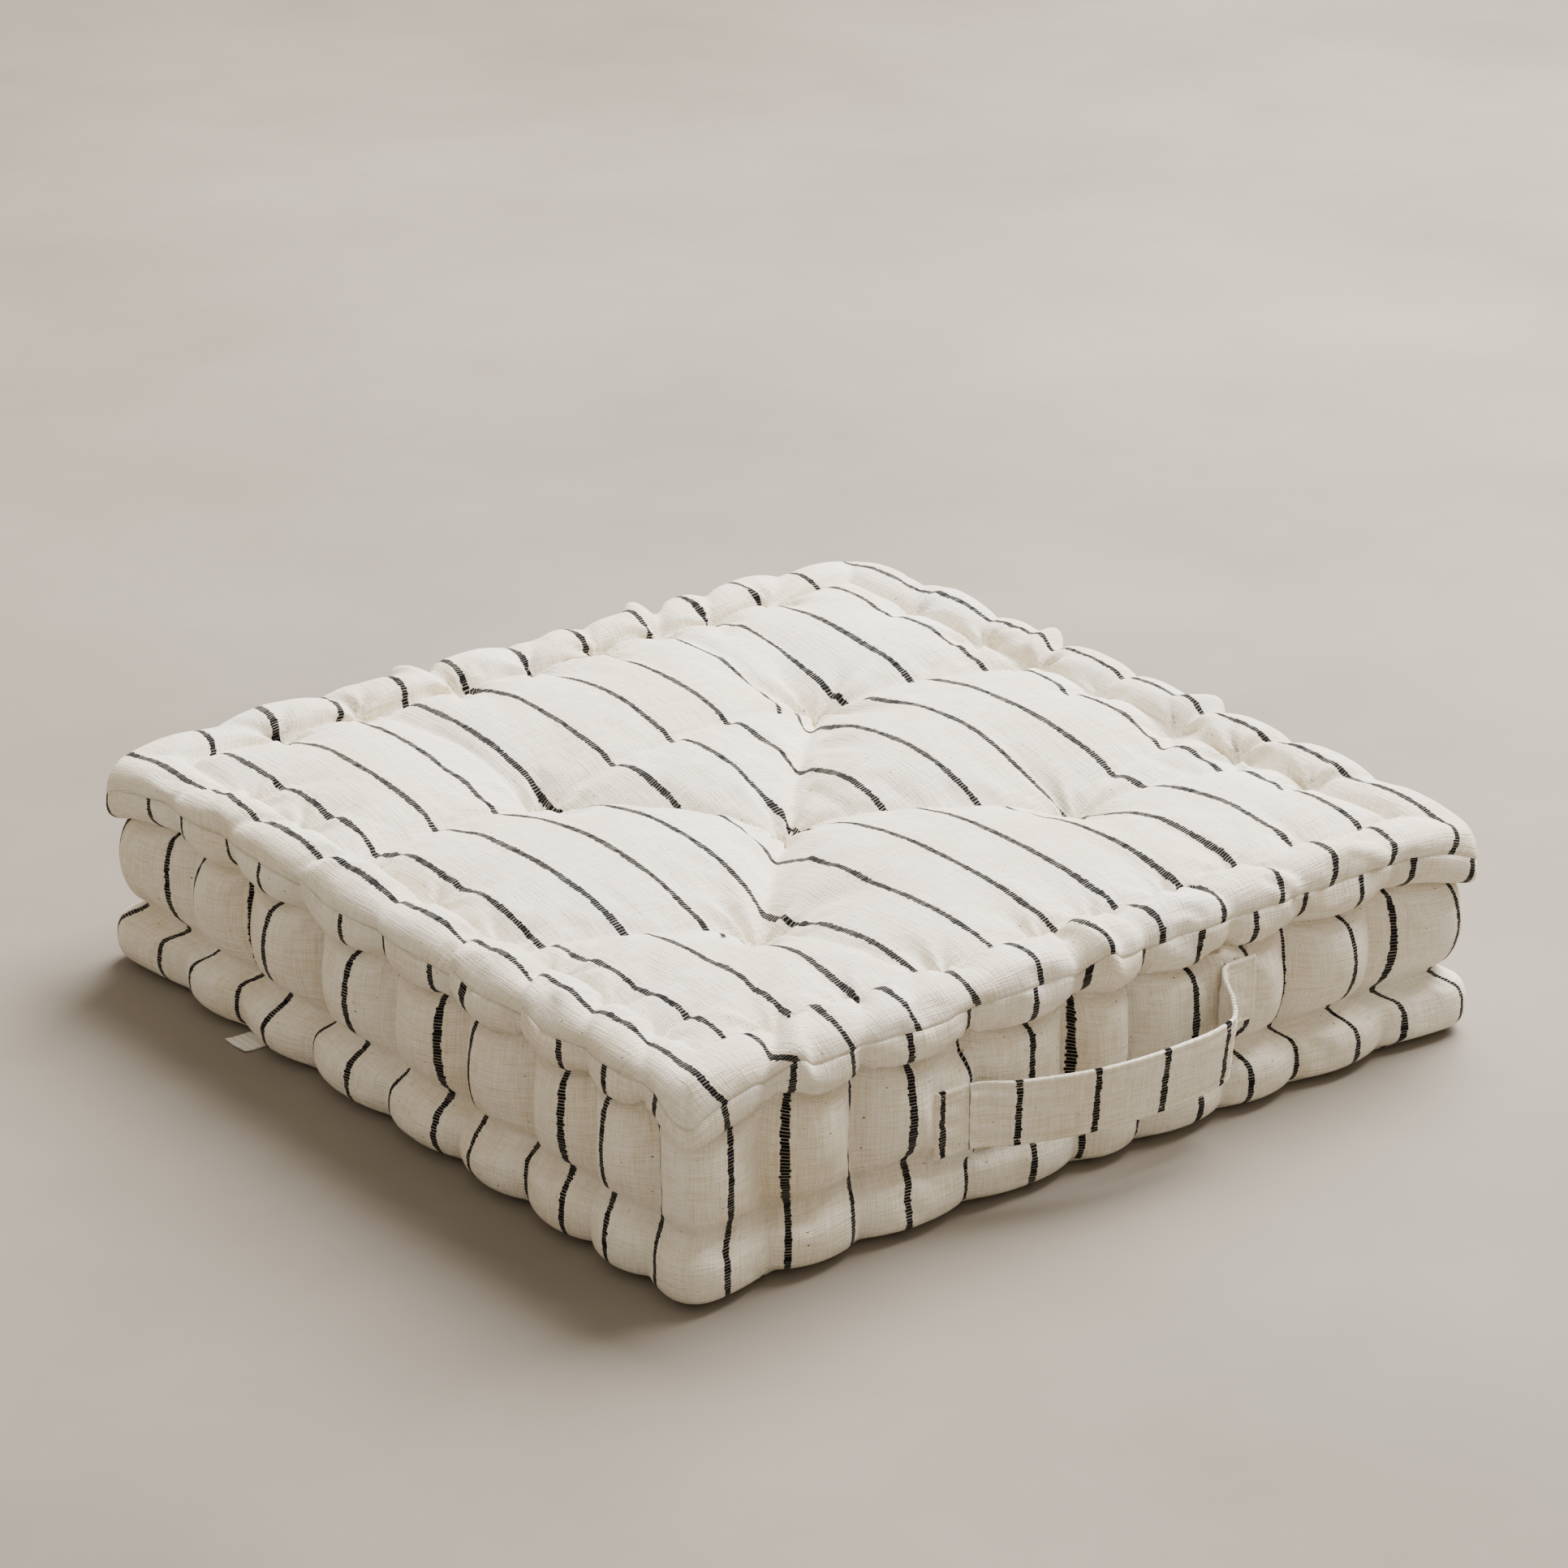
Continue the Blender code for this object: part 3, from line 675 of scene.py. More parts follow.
    def valleys(self) -> list[tuple[Vector, Vector, float]]:
        """Creases between tufts, and from tufts to the rolls: two ends and a depth each."""
        place = {tuft.tie[len("tuft_tie_") :]: Vector((tuft.x, tuft.y)) for tuft in self.tufts}
        edge = self.groove_half
        runs = [
            (place["centre"], place["front_left"], 17 * MM),
            (place["centre"], place["front_right"], 15 * MM),
            (place["centre"], place["back_left"], 16 * MM),
            (place["centre"], place["back_right"], 16 * MM),
            (place["back_left"], place["back_right"], 7 * MM),
            (place["front_left"], Vector((-edge, -65 * MM)), 10 * MM),
            (place["back_left"], Vector((-edge, 66 * MM)), 10 * MM),
            (place["back_right"], Vector((edge, 65 * MM)), 10 * MM),
            (place["front_right"], Vector((edge, -63 * MM)), 9 * MM),
            (place["front_right"], Vector((edge, -120 * MM)), 7 * MM),
            (place["back_left"], Vector((-97 * MM, edge)), 6 * MM),
            (place["front_left"], Vector((-84 * MM, -edge)), 5 * MM),
        ]
        return runs

    def crown(self, x: np.ndarray, y: np.ndarray) -> np.ndarray:
        """Height of the top panel inside the groove, from its pillows, tufts, creases and gathers."""
        groove_z = self.height - self.groove_drop
        edge = np.clip((self.groove_half - np.maximum(np.abs(x), np.abs(y))) / self.crown_rise, 0, 1)
        pillow = groove_z + (self.height - self.crown_gap - groove_z) * (1 - (1 - edge) ** 2) ** 0.56
        sink = np.zeros_like(x)
        for tuft in self.tufts:
            away = np.hypot(x - tuft.x, y - tuft.y)
            sink = np.maximum(sink, tuft.depth * np.exp(-((away / self.tuft_spread) ** 0.85)))
        crease = np.zeros_like(x)
        for start, end, depth in self.valleys():
            away = self.beside(x, y, start, end)[0]
            crease = np.maximum(crease, depth * np.exp(-((away / self.valley_spread) ** 0.95)))
        fan = np.zeros_like(x)
        for place, out in self.groove_pinches():
            inward = (place[0] - x) * out[0] + (place[1] - y) * out[1]
            beside = np.abs((y - place[1]) * out[0] - (x - place[0]) * out[1])
            near = np.exp(-np.clip(inward, 0, None) / (17 * MM)) * np.exp(-((beside / (8 * MM)) ** 1.1))
            fan = np.maximum(fan, near)
        both = (sink**2.2 + crease**2.2) ** (1 / 2.2)
        return pillow - both * np.clip(edge * 4, 0.25, 1) - self.pinch_drop * fan

    def beside(
        self, x: np.ndarray, y: np.ndarray, start: Vector, end: Vector
    ) -> tuple[np.ndarray, np.ndarray]:
        """Distance of each point from a straight crease, and its share of the way along it."""
        run = end - start
        share = np.clip(((x - start.x) * run.x + (y - start.y) * run.y) / run.length_squared, 0, 1)
        return np.hypot(x - start.x - share * run.x, y - start.y - share * run.y), share

    def groove_pinches(self) -> list[tuple[np.ndarray, np.ndarray]]:
        """Place of each pinch on the groove, and the direction outwards there."""
        found = []
        for each, marks in self.pinches.items():
            for mark in marks:
                turn = Matrix.Rotation(each.value * pi / 2, 2)
                place = turn @ Vector((mark * MM * self.groove_half / self.half, -self.groove_half))
                found.append((np.array(place), np.array(turn @ Vector((0, -1)))))
        return found

    def under(self, x: np.ndarray, y: np.ndarray) -> np.ndarray:
        """Height of the bottom panel: flat, with shallow tufts and a raised edge at the rolls."""
        edge = np.clip((self.groove_half - np.maximum(np.abs(x), np.abs(y))) / (16 * MM), 0, 1)
        lift = 5 * MM * (1 - edge) ** 2
        for tuft in self.tufts:
            low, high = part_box(tuft.tie)
            middle = (Vector(low) + Vector(high)) / 2 - self.middle
            away = np.hypot(x - middle.x, y - middle.y)
            lift = np.maximum(lift, 8 * MM * np.exp(-((away / (22 * MM)) ** 1.2)))
        return lift

    # ------------------------------------------------------------ whole surface

    def lay_out(self) -> None:
        """Work out every point of the closed cover, its faces, and the flat place of each face corner."""
        pull = self.pull = self.pinch_strengths()
        lines = np.linspace(-self.groove_half, self.groove_half, self.cells + 1)
        x, y = np.meshgrid(lines, lines, indexing="ij")
        tops, walls, unders = self.top_stations(), self.wall_stations(), self.under_stations()
        drift = wander(self.run, 8 * self.half, self.rng, 9) * 1.3 * MM
        lean = wander(self.run, 8 * self.half, self.rng, 11) * 1.4 * MM
        side, share = self.side_places()
        to_corner = self.half - np.abs(share) * self.half
        mitre = -np.exp(-((to_corner / (4 * MM)) ** 2))
        fold = self.pleats(4.5 * MM)
        ear = np.exp(-((to_corner / self.ear_reach) ** 1.5))
        loops = []
        for k, station in enumerate(tops + walls + unders):
            soft = 1.0 if k < len(tops) + len(walls) - 3 else 0.0
            inset = station.inset + station.pull_in * pull + soft * lean * (1 - ear)
            z = station.z + station.pull_up * pull + soft * drift * min(1, station.z / (60 * MM))
            z = z - self.ear_droop * station.droop * ear
            inset = inset + station.droop * (fold - self.mitre_fold * mitre)
            z = z - 1.7 * station.droop * fold
            if len(tops) + 4 < k < len(tops) + len(walls):
                flat = self.handle_patch(side, share * self.half, station.z)
                inset = inset + (self.wall_inset - inset) * flat
            loops.append(self.loop(inset, z, station.corner))
        rim = self.cell_border()
        top_grid = np.c_[x.ravel(), y.ravel(), self.crown(x, y).ravel()]
        under_grid = np.c_[x.ravel(), y.ravel(), self.under(x, y).ravel()]
        self.loops = len(loops)
        self.points = np.concatenate([top_grid, *loops, under_grid[self.inner_cells()]])
        self.index_surface(rim, len(tops), len(walls))

    def cell_border(self) -> np.ndarray:
        """Numbers of the square grid's border points, in the perimeter's order."""
        n = self.cells
        k = np.arange(n)
        rows = n + 1
        return np.concatenate([k * rows, n * rows + k, (n - k) * rows + n, n - k])

    def inner_cells(self) -> np.ndarray:
        """Numbers of the square grid's points that aren't on its border."""
        rows = self.cells + 1
        grid = np.arange(rows * rows).reshape(rows, rows)
        return grid[1:-1, 1:-1].ravel()

    def index_surface(self, rim: np.ndarray, tops: int, walls: int) -> None:
        """Number the faces of the four cloths and give each face corner its flat place."""
        n, rows = self.cells, self.cells + 1
        grid = np.arange(rows * rows).reshape(rows, rows)
        start = rows * rows
        ring_of = [rim] + [start + k * self.count + np.arange(self.count) for k in range(self.loops)]
        lines = np.linspace(-self.groove_half, self.groove_half, rows)
        u, v = np.meshgrid(lines, lines, indexing="ij")
        top_faces = grid_faces(grid)
        top_flat = np.c_[u.ravel(), v.ravel()]
        flat = {Cloth.TOP: [top_flat[top_faces]]}
        faces = {Cloth.TOP: [top_faces]}
        stations = self.top_stations() + self.wall_stations() + self.under_stations()
        runs = [Station(self.roll, self.height - self.groove_drop)] + stations
        steps = [
            ((b.inset - a.inset) ** 2 + (b.z - a.z) ** 2) ** 0.5 for a, b in zip(runs, runs[1:])
        ]
        along = np.arange(self.count)
        after = (along + 1) % self.count
        reach = 0.0
        self.join_right, self.join_left = n + 7, 3 * n - 7
        gathered = self.gathered_run()
        for k, step in enumerate(steps):
            a, b = ring_of[k], ring_of[k + 1]
            quads = np.stack([a, b, b[after], a[after]], -1)
            if k < tops:
                inner = self.flat_corners(self.groove_half + reach)
                outer = self.flat_corners(self.groove_half + reach + step)
                corners = np.stack([inner[0], outer[0], outer[1], inner[1]], 1)
                faces[Cloth.TOP].append(quads)
                flat[Cloth.TOP].append(corners)
            elif k < tops + walls:
                wide, nxt = gathered[:-1], gathered[1:]
                down = np.full(self.count, -reach)
                below = down - step
                corners = np.stack(
                    [np.c_[wide, down], np.c_[wide, below], np.c_[nxt, below], np.c_[nxt, down]], 1
                )
                back = (along >= self.join_right) & (along < self.join_left)
                for cloth, mask in ((Cloth.BACK_WALL, back), (Cloth.FRONT_WALL, ~back)):
                    faces.setdefault(cloth, []).append(quads[mask])
                    flat.setdefault(cloth, []).append(corners[mask])
            else:
                left = self.half - stations[k].inset
                inner = self.flat_corners(left + step)
                outer = self.flat_corners(left)
                corners = np.stack([inner[0], outer[0], outer[1], inner[1]], 1)
                faces.setdefault(Cloth.BOTTOM, []).append(quads)
                flat.setdefault(Cloth.BOTTOM, []).append(corners)
            reach += step
        under = np.empty(rows * rows, int)
        under[rim] = ring_of[-1]
        inner_numbers = self.inner_cells()
        under[inner_numbers] = start + self.loops * self.count + np.arange(len(inner_numbers))
        bottom = top_faces[:, ::-1]
        faces[Cloth.BOTTOM].append(under[bottom])
        flat[Cloth.BOTTOM].append(top_flat[bottom])
        self.faces = {cloth: np.concatenate(part) for cloth, part in faces.items()}
        self.flat = {cloth: np.concatenate(part) for cloth, part in flat.items()}
        self.ring_of, self.tops, self.walls = ring_of, tops, walls

    def gathered_run(self) -> np.ndarray:
        """Flat place along the boxing at each point of the perimeter; each pinch takes up some cloth."""
        run = np.append(self.run, 8 * self.half)
        flat = run + self.boxing_phase
        for place in self.pinch_places:
            flat = flat + self.gather / (1 + np.exp(-(run - place) / (4 * MM)))
        return flat

    def flat_corners(self, half: float) -> tuple[np.ndarray, np.ndarray]:
        """Flat places of a square loop's points and of the points that follow them."""
        flat = self.square_loop(half)
        return flat, np.roll(flat, -1, axis=0)

    # ------------------------------------------------------------ simulation

    def pins(self) -> np.ndarray:
        """How firmly each point is held while the cloth swells: by stitches, creases and the floor."""
        hold = np.zeros(len(self.points))
        groove = self.ring_of[0]
        upper = self.ring_of[self.tops + 5]
        lower = self.ring_of[self.tops + 5 + self.wall_steps + 1]
        stitched = self.pull > 0.7
        for ring in self.ring_of[1 : self.tops + 5]:
            hold[ring] = 0.6 * stitched
        for ring in self.ring_of[self.tops + 5 : self.tops + self.walls]:
            hold[ring] = np.where(stitched, 0.95, np.round(0.6 * self.pull, 1))
        for ring, slack in ((groove, 0.4), (upper, 0.75), (lower, 0.95)):
            hold[ring] = slack + (1 - slack) * stitched
        top = np.arange((self.cells + 1) ** 2)
        for start, end, depth in self.valleys():
            away, share = self.beside(self.points[top, 0], self.points[top, 1], start, end)
            firm = np.round((0.6 + 0.4 * (2 * share - 1) ** 2) * min(1, depth / (12 * MM)), 2)
            hold[top] = np.where(away < 2.3 * MM, np.maximum(hold[top], firm), hold[top])
        for ring in self.ring_of[self.tops + self.walls - 1 :]:
            hold[ring] = 1
        hold[self.ring_of[-1].max() + 1 :] = 1
        for tuft in self.tufts:
            near = np.hypot(self.points[:, 0] - tuft.x, self.points[:, 1] - tuft.y) < 4.5 * MM
            hold[near & (self.points[:, 2] > self.height / 2)] = 1
        return hold

    def swell(self) -> None:
        """Let the fill swell the cloth between its stitches, and keep each point near its place."""
        free = len(self.points) - len(self.inner_cells())
        whole = np.concatenate(list(self.faces.values()))
        whole = whole[whole.max(axis=1) < free]
        sheet = mesh_object("cover_swelling", self.points[:free], whole.tolist())
        group = sheet.vertex_groups.new(name="held")
        hold = self.pins()[:free]
        for weight in np.unique(hold[hold > 0]):
            group.add(np.nonzero(hold == weight)[0].tolist(), float(weight), "REPLACE")
        cloth = sheet.modifiers.new("cloth", "CLOTH")
        stiffness = {"tension_stiffness": 15, "compression_stiffness": 15, "shear_stiffness": 5}
        weight = {"quality": 5, "mass": 0.3, "bending_stiffness": 0.5, "vertex_group_mass": "held"}
        blown = {"use_pressure": True, "uniform_pressure_force": 3.5, "shrink_min": -0.022}
        for setting, value in {**stiffness, **weight, **blown}.items():
            setattr(cloth.settings, setting, value)
        cloth.settings.effector_weights.gravity = 0
        cloth.collision_settings.use_collision = False
        cloth.collision_settings.use_self_collision = False
        for step in range(1, self.swell_frames + 1):
            bpy.context.scene.frame_set(step)
        shape = sheet.evaluated_get(bpy.context.evaluated_depsgraph_get()).to_mesh()
        swollen = np.empty(len(shape.vertices) * 3)
        shape.vertices.foreach_get("co", swollen)
        moved = swollen.reshape(-1, 3) - self.points[:free]
        length = np.linalg.norm(moved, axis=1, keepdims=True)
        LOG.info("swelling moved the cloth by up to %.1f mm", length.max() / MM)
        capped = self.swell_limit * np.tanh(length / self.swell_limit)
        self.points[:free] += moved * capped / np.maximum(length, 1e-9)
        bpy.data.objects.remove(sheet, do_unlink=True)
        bpy.context.scene.frame_set(1)

    def settle(self) -> None:
        """Keep the cover above the floor and behind the handle, and sink the seams."""
        self.points[:, 2] = np.maximum(self.points[:, 2], 0.3 * MM)
        strap = Handle()
        x, z = self.points[:, 0] + self.middle.x, self.points[:, 2]
        line = np.array([tuple(p) for p in strap.route()])
        inner = strap.wall_y - line[:, 1] + strap.thickness / 2 + 0.3 * MM
        left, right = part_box("handle_end_left"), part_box("handle_end_right")
        reach = np.interp(x, line[:, 0], np.minimum(inner, strap.wall_y - 0.1 * MM))
        behind = (x > left[0][0] - 5 * MM) & (x < right[1][0] + 5 * MM) & (z > 28 * MM) & (z < 90 * MM)
        front = behind & (self.points[:, 1] < 0)
        self.points[front, 1] = np.maximum(self.points[front, 1], reach[front] - self.middle.y)
        whole = np.concatenate(list(self.faces.values()))
        shell = mesh_object("cover_shell", self.points, whole.tolist())
        normals = normals_of(shell)
        bpy.data.objects.remove(shell, do_unlink=True)
        for ring in (self.ring_of[self.tops], self.ring_of[self.tops + self.walls]):
            self.points[ring] -= normals[ring] * self.seam_depth
        for ring in self.ring_of[self.tops + 1 : self.tops + self.walls]:
            joins = ring[[self.join_right, self.join_left]]
            self.points[joins] -= normals[joins] * self.seam_depth

    # ------------------------------------------------------------ pieces

    def build(self) -> dict[Cloth, bpy.types.Object]:
        """Make the four cloths."""
        self.lay_out()
        self.swell()
        self.settle()
        finish = StripedCotton()
        material = finish.build("handloom_cotton_striped")
        inside = {
            Cloth.TOP: ("batting_top_layer", "top_roll_filling"),
            Cloth.FRONT_WALL: ("batting_middle_layer",),
            Cloth.BACK_WALL: (),
            Cloth.BOTTOM: ("batting_bottom_layer", "bottom_roll_filling"),
        }
        made = {}
        for cloth, filling in inside.items():
            made[cloth] = self.cut_cloth(cloth)
            hand_over(made[cloth], material, finish.slot, cloth.value, *filling)
            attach(made[cloth], "cushion")
        return made

    def cut_cloth(self, cloth: Cloth) -> bpy.types.Object:
        """One cut piece of the cover, refined and creased, with its real thickness."""
        faces, flat = self.faces[cloth], self.flat[cloth]
        used = np.unique(faces)
        renumber = np.full(len(self.points), -1)
        renumber[used] = np.arange(len(used))
        points = self.points[used] + np.array(self.middle)
        piece = mesh_object(cloth.value + "_cloth", points, renumber[faces].tolist(), flat.reshape(-1, 2))
        subdivide_smooth(piece, 1)
        self.crease(piece, cloth)
        apply_modifier(piece, "SOLIDIFY", thickness=self.canvas, offset=-1.0)
        piece.data.shade_smooth()
        return piece

    def crease(self, piece: bpy.types.Object, cloth: Cloth) -> None:
        """Raise fine folds that fan out from the tufts and pinches, and puckers along the seams."""
        if cloth is Cloth.BOTTOM:
            return
        rng = np.random.default_rng(len(cloth.value))
        corners = np.empty(len(piece.data.loops), int)
        piece.data.loops.foreach_get("vertex_index", corners)
        flat = np.empty(len(corners) * 2)
        piece.data.uv_layers["cloth"].data.foreach_get("uv", flat)
        place = np.zeros((len(piece.data.vertices), 2))
        place[corners] = flat.reshape(-1, 2)
        rise = np.zeros(len(place))
        for centre, reach, folds, height in self.fans(cloth):
            away = place - np.array(centre)
            radius = np.hypot(away[:, 0], away[:, 1])
            angle = np.arctan2(away[:, 1], away[:, 0])
            wave = np.cos(folds * angle + rng.uniform(0, 2 * pi))
            wave += 0.6 * np.cos((folds + 4) * angle + rng.uniform(0, 2 * pi))
            near = np.exp(-((radius / reach) ** 1.6)) * np.clip(radius / (6 * MM), 0, 1)
            rise += height * wave * near * (0.6 + 0.4 * rng.random())
        if cloth is Cloth.TOP:
            edge = self.groove_half + sum(self.roll_runs())
            from_seam = edge - np.abs(place).max(axis=1)
            along = np.where(np.abs(place[:, 0]) > np.abs(place[:, 1]), place[:, 1], place[:, 0])
        else:
            from_seam, along = -place[:, 1], place[:, 0]
        from_seam = np.clip(from_seam, 0, None)
        rise += 1.5 * MM * wander(along, 190 * MM, rng, 24) * np.exp(-((from_seam / (12 * MM)) ** 1.4))
        rise *= np.clip(from_seam / (5 * MM), 0, 1)
        set_points(piece, points_of(piece) + normals_of(piece) * rise[:, None])

    def roll_runs(self) -> list[float]:
        """Lengths of cloth between the top panel's stations."""
        runs = [Station(self.roll, self.height - self.groove_drop)] + self.top_stations()
        return [((b.inset - a.inset) ** 2 + (b.z - a.z) ** 2) ** 0.5 for a, b in zip(runs, runs[1:])]

    def fans(self, cloth: Cloth) -> list[tuple[tuple[float, float], float, int, float]]:
        """Where fine folds fan out on a cut piece: flat place, reach, number of folds and height."""
        found = []
        if cloth is Cloth.TOP:
            for tuft in self.tufts:
                found.append(((tuft.x, tuft.y), 30 * MM, 7, 2.8 * MM))
            for place, _ in self.groove_pinches():
                found.append(((place[0], place[1]), 19 * MM, 6, 2.2 * MM))
            return found
        flat = self.gathered_run()
        for place in self.pinch_places:
            u = float(np.interp(place, self.run, flat[:-1]))
            for v in (-22 * MM, -78 * MM):
                found.append(((u, v), 16 * MM, 6, 1.5 * MM))
        return found


# ------------------------------------------------------------ handle


@dataclass
class Handle:
    """The carrying strap: a folded band on edge, bowed out from the wall and sewn flat at both ends."""

    sewn_gap: float = 0.3 * MM
    turn_length: float = 8 * MM
    steps: int = 22
    across: int = 30
    stitch_inset: float = 3.0 * MM
    stitch_pitch: float = 3.0 * MM
    fold_height: float = 6.0 * MM
    tilt: float = radians(5)
    pattern_start: float = 20 * 39.3 * MM - 29 * MM

    def __post_init__(self) -> None:
        """Take the strap's place and size from the frame."""
        (self.left, front, bottom), (self.right, _, self.right_top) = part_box("handle_strap")
        low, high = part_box("handle_end_left")
        self.left_end, self.right_end = (low, high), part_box("handle_end_right")
        self.thickness = high[1] - low[1]
        self.width = high[2] - low[2]
        self.left_top = high[2]
        self.sag_top = bottom + self.width
        self.wall_y = high[1] + self.sewn_gap
        self.reach = self.wall_y - front - self.thickness / 2

    def route(self) -> list[Vector]:
        """Points along the strap's middle: x, y and the height of its top edge, on one smooth curve."""
        near = self.sewn_gap + self.thickness / 2
        span, turn = self.right - self.left, self.right - self.turn_length
        climb, fall = self.right_top - self.sag_top, self.left_top - self.sag_top
        knots = [
            (self.left, near, self.left_top),
            (self.left + 0.16 * span, 0.34 * self.reach, self.sag_top + 0.25 * fall),
            (self.left + 0.41 * span, 0.85 * self.reach, self.sag_top),
            (self.left + 0.67 * span, self.reach, self.sag_top),
            (turn - 0.875 * self.turn_length, 0.93 * self.reach, self.sag_top + 2.5 / 19 * climb),
            (turn, 0.6 * self.reach, self.sag_top + 0.45 * climb),
            (turn + 0.25 * self.turn_length, 0.25 * self.reach, self.right_top - 2 / 19 * climb),
            (self.right, near, self.right_top),
        ]
        knots = [Vector((x, self.wall_y - away, z)) for x, away, z in knots]
        tangents = [knots[min(k + 1, len(knots) - 1)] - knots[max(k - 1, 0)] for k in range(len(knots))]
        for end in (0, -1):
            tangents[end] = Vector((tangents[end].length, 0, 0))
        line = []
        for a, b, leave, arrive in zip(knots, knots[1:], tangents, tangents[1:]):
            third = (b - a).length / 3
            out, back = a + leave.normalized() * third, b - arrive.normalized() * third
            line += interpolate_bezier(a, out, back, b, self.steps + 1)[:-1]
        return line + [knots[-1]]

    def section(self) -> tuple[np.ndarray, np.ndarray]:
        """Heights across the band from its middle, and half its thickness there, thin at its edges."""
        half = self.width / 2
        place = half * np.sin(np.linspace(-1, 1, self.across + 1) * pi / 2)
        edge = np.clip((half - np.abs(place)) / (1.6 * MM), 0, 1)
        thick = self.thickness / 2 * (0.35 + 0.65 * np.sqrt(1 - (1 - edge) ** 2))
        for line in (-half + self.stitch_inset, half - self.stitch_inset):
            thick -= 0.42 * MM * np.exp(-(((place - line) / (0.8 * MM)) ** 2))
        return place, thick

    def frames(self) -> tuple[np.ndarray, np.ndarray, np.ndarray, np.ndarray]:
        """Middle, outward direction, across direction and length so far at each step of the band."""
        line = self.route()
        middles, outs, ups, lengths = [], [], [], [0.0]
        for k, point in enumerate(line):
            ahead, behind = line[min(k + 1, len(line) - 1)], line[max(k - 1, 0)]
            run = Vector((ahead.x - behind.x, ahead.y - behind.y, 0)).normalized()
            if k in (0, len(line) - 1):
                run = Vector((1, 0, 0))
            out = Vector((run.y, -run.x, 0))
            lean = self.tilt * min(1, max(0, (self.wall_y - point.y) / self.reach))
            ups.append(Vector((0, 0, 1)) * cos(lean) + out * sin(lean))
            outs.append(out * cos(lean) - Vector((0, 0, 1)) * sin(lean))
            middles.append(point - Vector((0, 0, self.width / 2)))
            if k:
                lengths.append(lengths[-1] + (line[k] - line[k - 1]).length)
        return np.array(middles), np.array(outs), np.array(ups), np.array(lengths)

    def relief(self, lengths: np.ndarray, place: np.ndarray) -> np.ndarray:
        """How far the band's outer face stands out: a long fold, pulls at its ends and small puckers."""
        rng = np.random.default_rng(5)
        total = lengths[-1]
        along, over = lengths[:, None], place[None, :]
        fold = 0.55 * MM / (1 + np.exp(-(over - self.fold_height) / (0.35 * MM)))
        slack = 0.5 * MM * wander(lengths, 90 * MM, rng, 6)[:, None] * np.cos(over / self.width * pi)
        pull_left = np.exp(-((along / (34 * MM)) ** 1.2)) * np.sin(over * 2 * pi / (8.5 * MM) + along * 60)
        near_right = np.exp(-(((total - along) / (20 * MM)) ** 1.2))
        pull_right = near_right * np.sin(over * 2 * pi / (9.5 * MM) + 1)
        half = self.width / 2
        hem = np.exp(-(((np.abs(over) - half) / (3.2 * MM)) ** 2))
        pucker = 0.16 * MM * np.sin(along * 2 * pi / (self.stitch_pitch * 2) + over * 200) * hem
        return fold + slack + 0.65 * MM * (pull_left + 0.7 * pull_right) + pucker

    def build(self) -> list[bpy.types.Object]:
        """Make the strap, its sewn ends and all their stitches."""
        finish = StripedCotton()
        material = finish.build("handloom_cotton_handle")
        strap = self.make_strap()
        hand_over(strap, material, finish.slot, "handle_strap")
        sides = (("handle_end_left", self.left_end, -1), ("handle_end_right", self.right_end, 1))
        ends = [self.make_end(*side) for side in sides]
        for end, side in zip(ends, sides):
            hand_over(end, material, finish.slot, side[0])
            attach(end, "cushion")
        thread = Twine(light="#EFE8D6", dark="#D8CDB4", lay=0.5 * MM).build("sewing_thread")
        seams = [self.strap_stitches(), self.end_stitches()]
        for seam in seams:
            hand_over(seam, thread, finish.slot)
        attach(seams[1], "cushion")
        for piece in (strap, seams[0]):
            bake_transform(piece)
        return [strap, *ends, *seams]

    def make_strap(self) -> bpy.types.Object:
        """The band itself, a closed tube of cloth with thin edges."""
        middles, outs, ups, lengths = self.frames()
        place, thick = self.section()
        relief = self.relief(lengths, place)
        base = middles[:, None, :] + ups[:, None, :] * place[None, :, None]
        outer = base + outs[:, None, :] * (thick[None, :] + relief)[..., None]
        inner = base - outs[:, None, :] * (thick[None, :] - relief * 0.6)[..., None]
        ring = np.concatenate([outer, inner[:, ::-1]], axis=1)
        rows, wide = ring.shape[:2]
        flat_v = np.concatenate([place, 2 * place[-1] - place[::-1]])
        faces, flat = [], []
        for k in range(rows - 1):
            for j in range(wide):
                nxt = (j + 1) % wide
                faces.append((k * wide + j, (k + 1) * wide + j, (k + 1) * wide + nxt, k * wide + nxt))
                v_next = flat_v[nxt] if nxt else flat_v[j] + 1 * MM
                start, end = lengths[k] + self.pattern_start, lengths[k + 1] + self.pattern_start
                flat += [(start, flat_v[j]), (end, flat_v[j]), (end, v_next), (start, v_next)]
        for row, order in ((0, 1), (rows - 1, -1)):
            cap = [row * wide + j for j in range(wide)][::order]
            faces.append(cap)
            flat += [(lengths[row] + self.pattern_start, flat_v[j]) for j in range(wide)][::order]
        piece = mesh_object("handle_strap_band", ring.reshape(-1, 3), faces, flat)
        piece.data.shade_smooth()
        piece.data.set_sharp_from_angle(angle=radians(70))
        return piece

